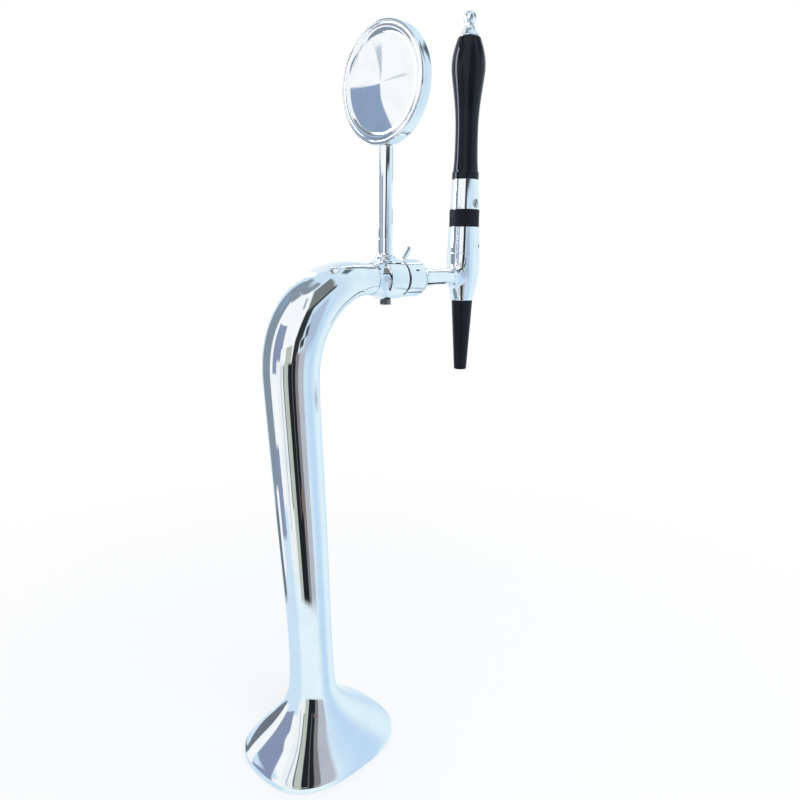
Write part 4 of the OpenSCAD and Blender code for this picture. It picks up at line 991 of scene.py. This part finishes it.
card_at = Vector((-68.8, 136.6, 582))
card_left, card_up = Vector((0.633, 0.774, 0)), Vector((-0.542, 0.443, 0.711))
card_out = card_left.cross(card_up)
# The second card's grey streaks are painted crease shade on the glowing card, and the disc mirrors them as grey
# lines.
for name, paint, lift, faces, outline in (
        ("badge_card", WHITE, 0, [(0, 1, 2, 3, 6), (3, 4, 5, 6)],
         ((-80, -120), (-30, -120), (-2, -45), (0, 0), (80, -6), (80, 150), (-80, 150))),
        ("card_creases", (186, 198, 212), 1, [(0, 1, 2), (3, 4, 5), (6, 7, 8)],
         ((0, 0), (19, 108), (31, 97), (0, 0), (-21, 106), (-25, 104), (0, 0), (-39, 14), (-38, 21)))):
    put_up(name, [card_at + card_left * u + card_up * v + card_out * lift for u, v in outline], faces, paint,
           card_at + card_out * 100)


# Floor: matt paper with the tower's shadow on it, whiter away from the tower so that its end is not seen. Mirrored
# rays pass through it to the foot of the tent.
floor = add_mesh("floor", [(-6000, -6000, 0), (6000, -6000, 0), (6000, 6000, 0), (-6000, 6000, 0)], [(0, 1, 2, 3)])
paper = bpy.data.materials.new("floor paper")
paper.use_nodes = True
tree = paper.node_tree
matt = tree.nodes["Principled BSDF"]
matt.inputs["Base Color"].default_value = (0.93, 0.95, 0.97, 1)
matt.inputs["Roughness"].default_value = 0.9
matt.inputs["Specular IOR Level"].default_value = 0.0
glow = tree.nodes.new("ShaderNodeEmission")
glow.inputs["Color"].default_value = (1, 1, 1, 1)
where = tree.nodes.new("ShaderNodeTexCoord")
far = tree.nodes.new("ShaderNodeVectorMath")
far.operation = "LENGTH"
tree.links.new(where.outputs["Object"], far.inputs[0])
whiter = math_node(tree, "ADD", math_node(tree, "MULTIPLY", far.outputs["Value"], 0.7), 0.5, clamp=True)
ray = tree.nodes.new("ShaderNodeLightPath")
seen = tree.nodes.new("ShaderNodeMixShader")
tree.links.new(math_node(tree, "MULTIPLY", whiter, ray.outputs["Is Camera Ray"]), seen.inputs["Fac"])
tree.links.new(matt.outputs["BSDF"], seen.inputs[1])
tree.links.new(glow.outputs["Emission"], seen.inputs[2])
tree.links.new(seen.outputs["Shader"], tree.nodes["Material Output"].inputs["Surface"])
coat(floor, paper)
floor.visible_glossy = False


# Lamp: one wide soft box, high up on the camera's side of the tower, for the shading and the shadow. Mirrored
# rays don't see it.
light = bpy.data.lights.new("soft box", "AREA")
light.shape = "DISK"
light.size = 1.1
light.energy = 9.0
lamp = bpy.data.objects.new("soft box", light)
bpy.context.scene.collection.objects.link(lamp)
lamp.location = (-0.25, -0.95, 1.5)
lamp.rotation_euler = (Vector((0.05, 0, 0.25)) - lamp.location).to_track_quat("-Z", "Y").to_euler()
lamp.visible_glossy = False


# Strip light: a tall narrow soft box beside the tower, whose shine runs down the grip. Only mirrored rays see it,
# and it isn't part of the object.
strip = bpy.data.lights.new("strip light", "AREA")
strip.shape = "RECTANGLE"
strip.size, strip.size_y = 0.05, 0.29
strip.energy = 0.64
strip.color = linear(222, 222, 255)[:3]
strip_lamp = bpy.data.objects.new("strip light", strip)
bpy.context.scene.collection.objects.link(strip_lamp)
strip_lamp.location = (0.0536, 0.156, 0.575)
strip_lamp.rotation_euler = (Vector((0.1786, 0, 0.575)) - strip_lamp.location).to_track_quat("-Z", "Y").to_euler()
strip_lamp.visible_camera = strip_lamp.visible_diffuse = strip_lamp.visible_transmission = False


bpy.context.view_layer.update()
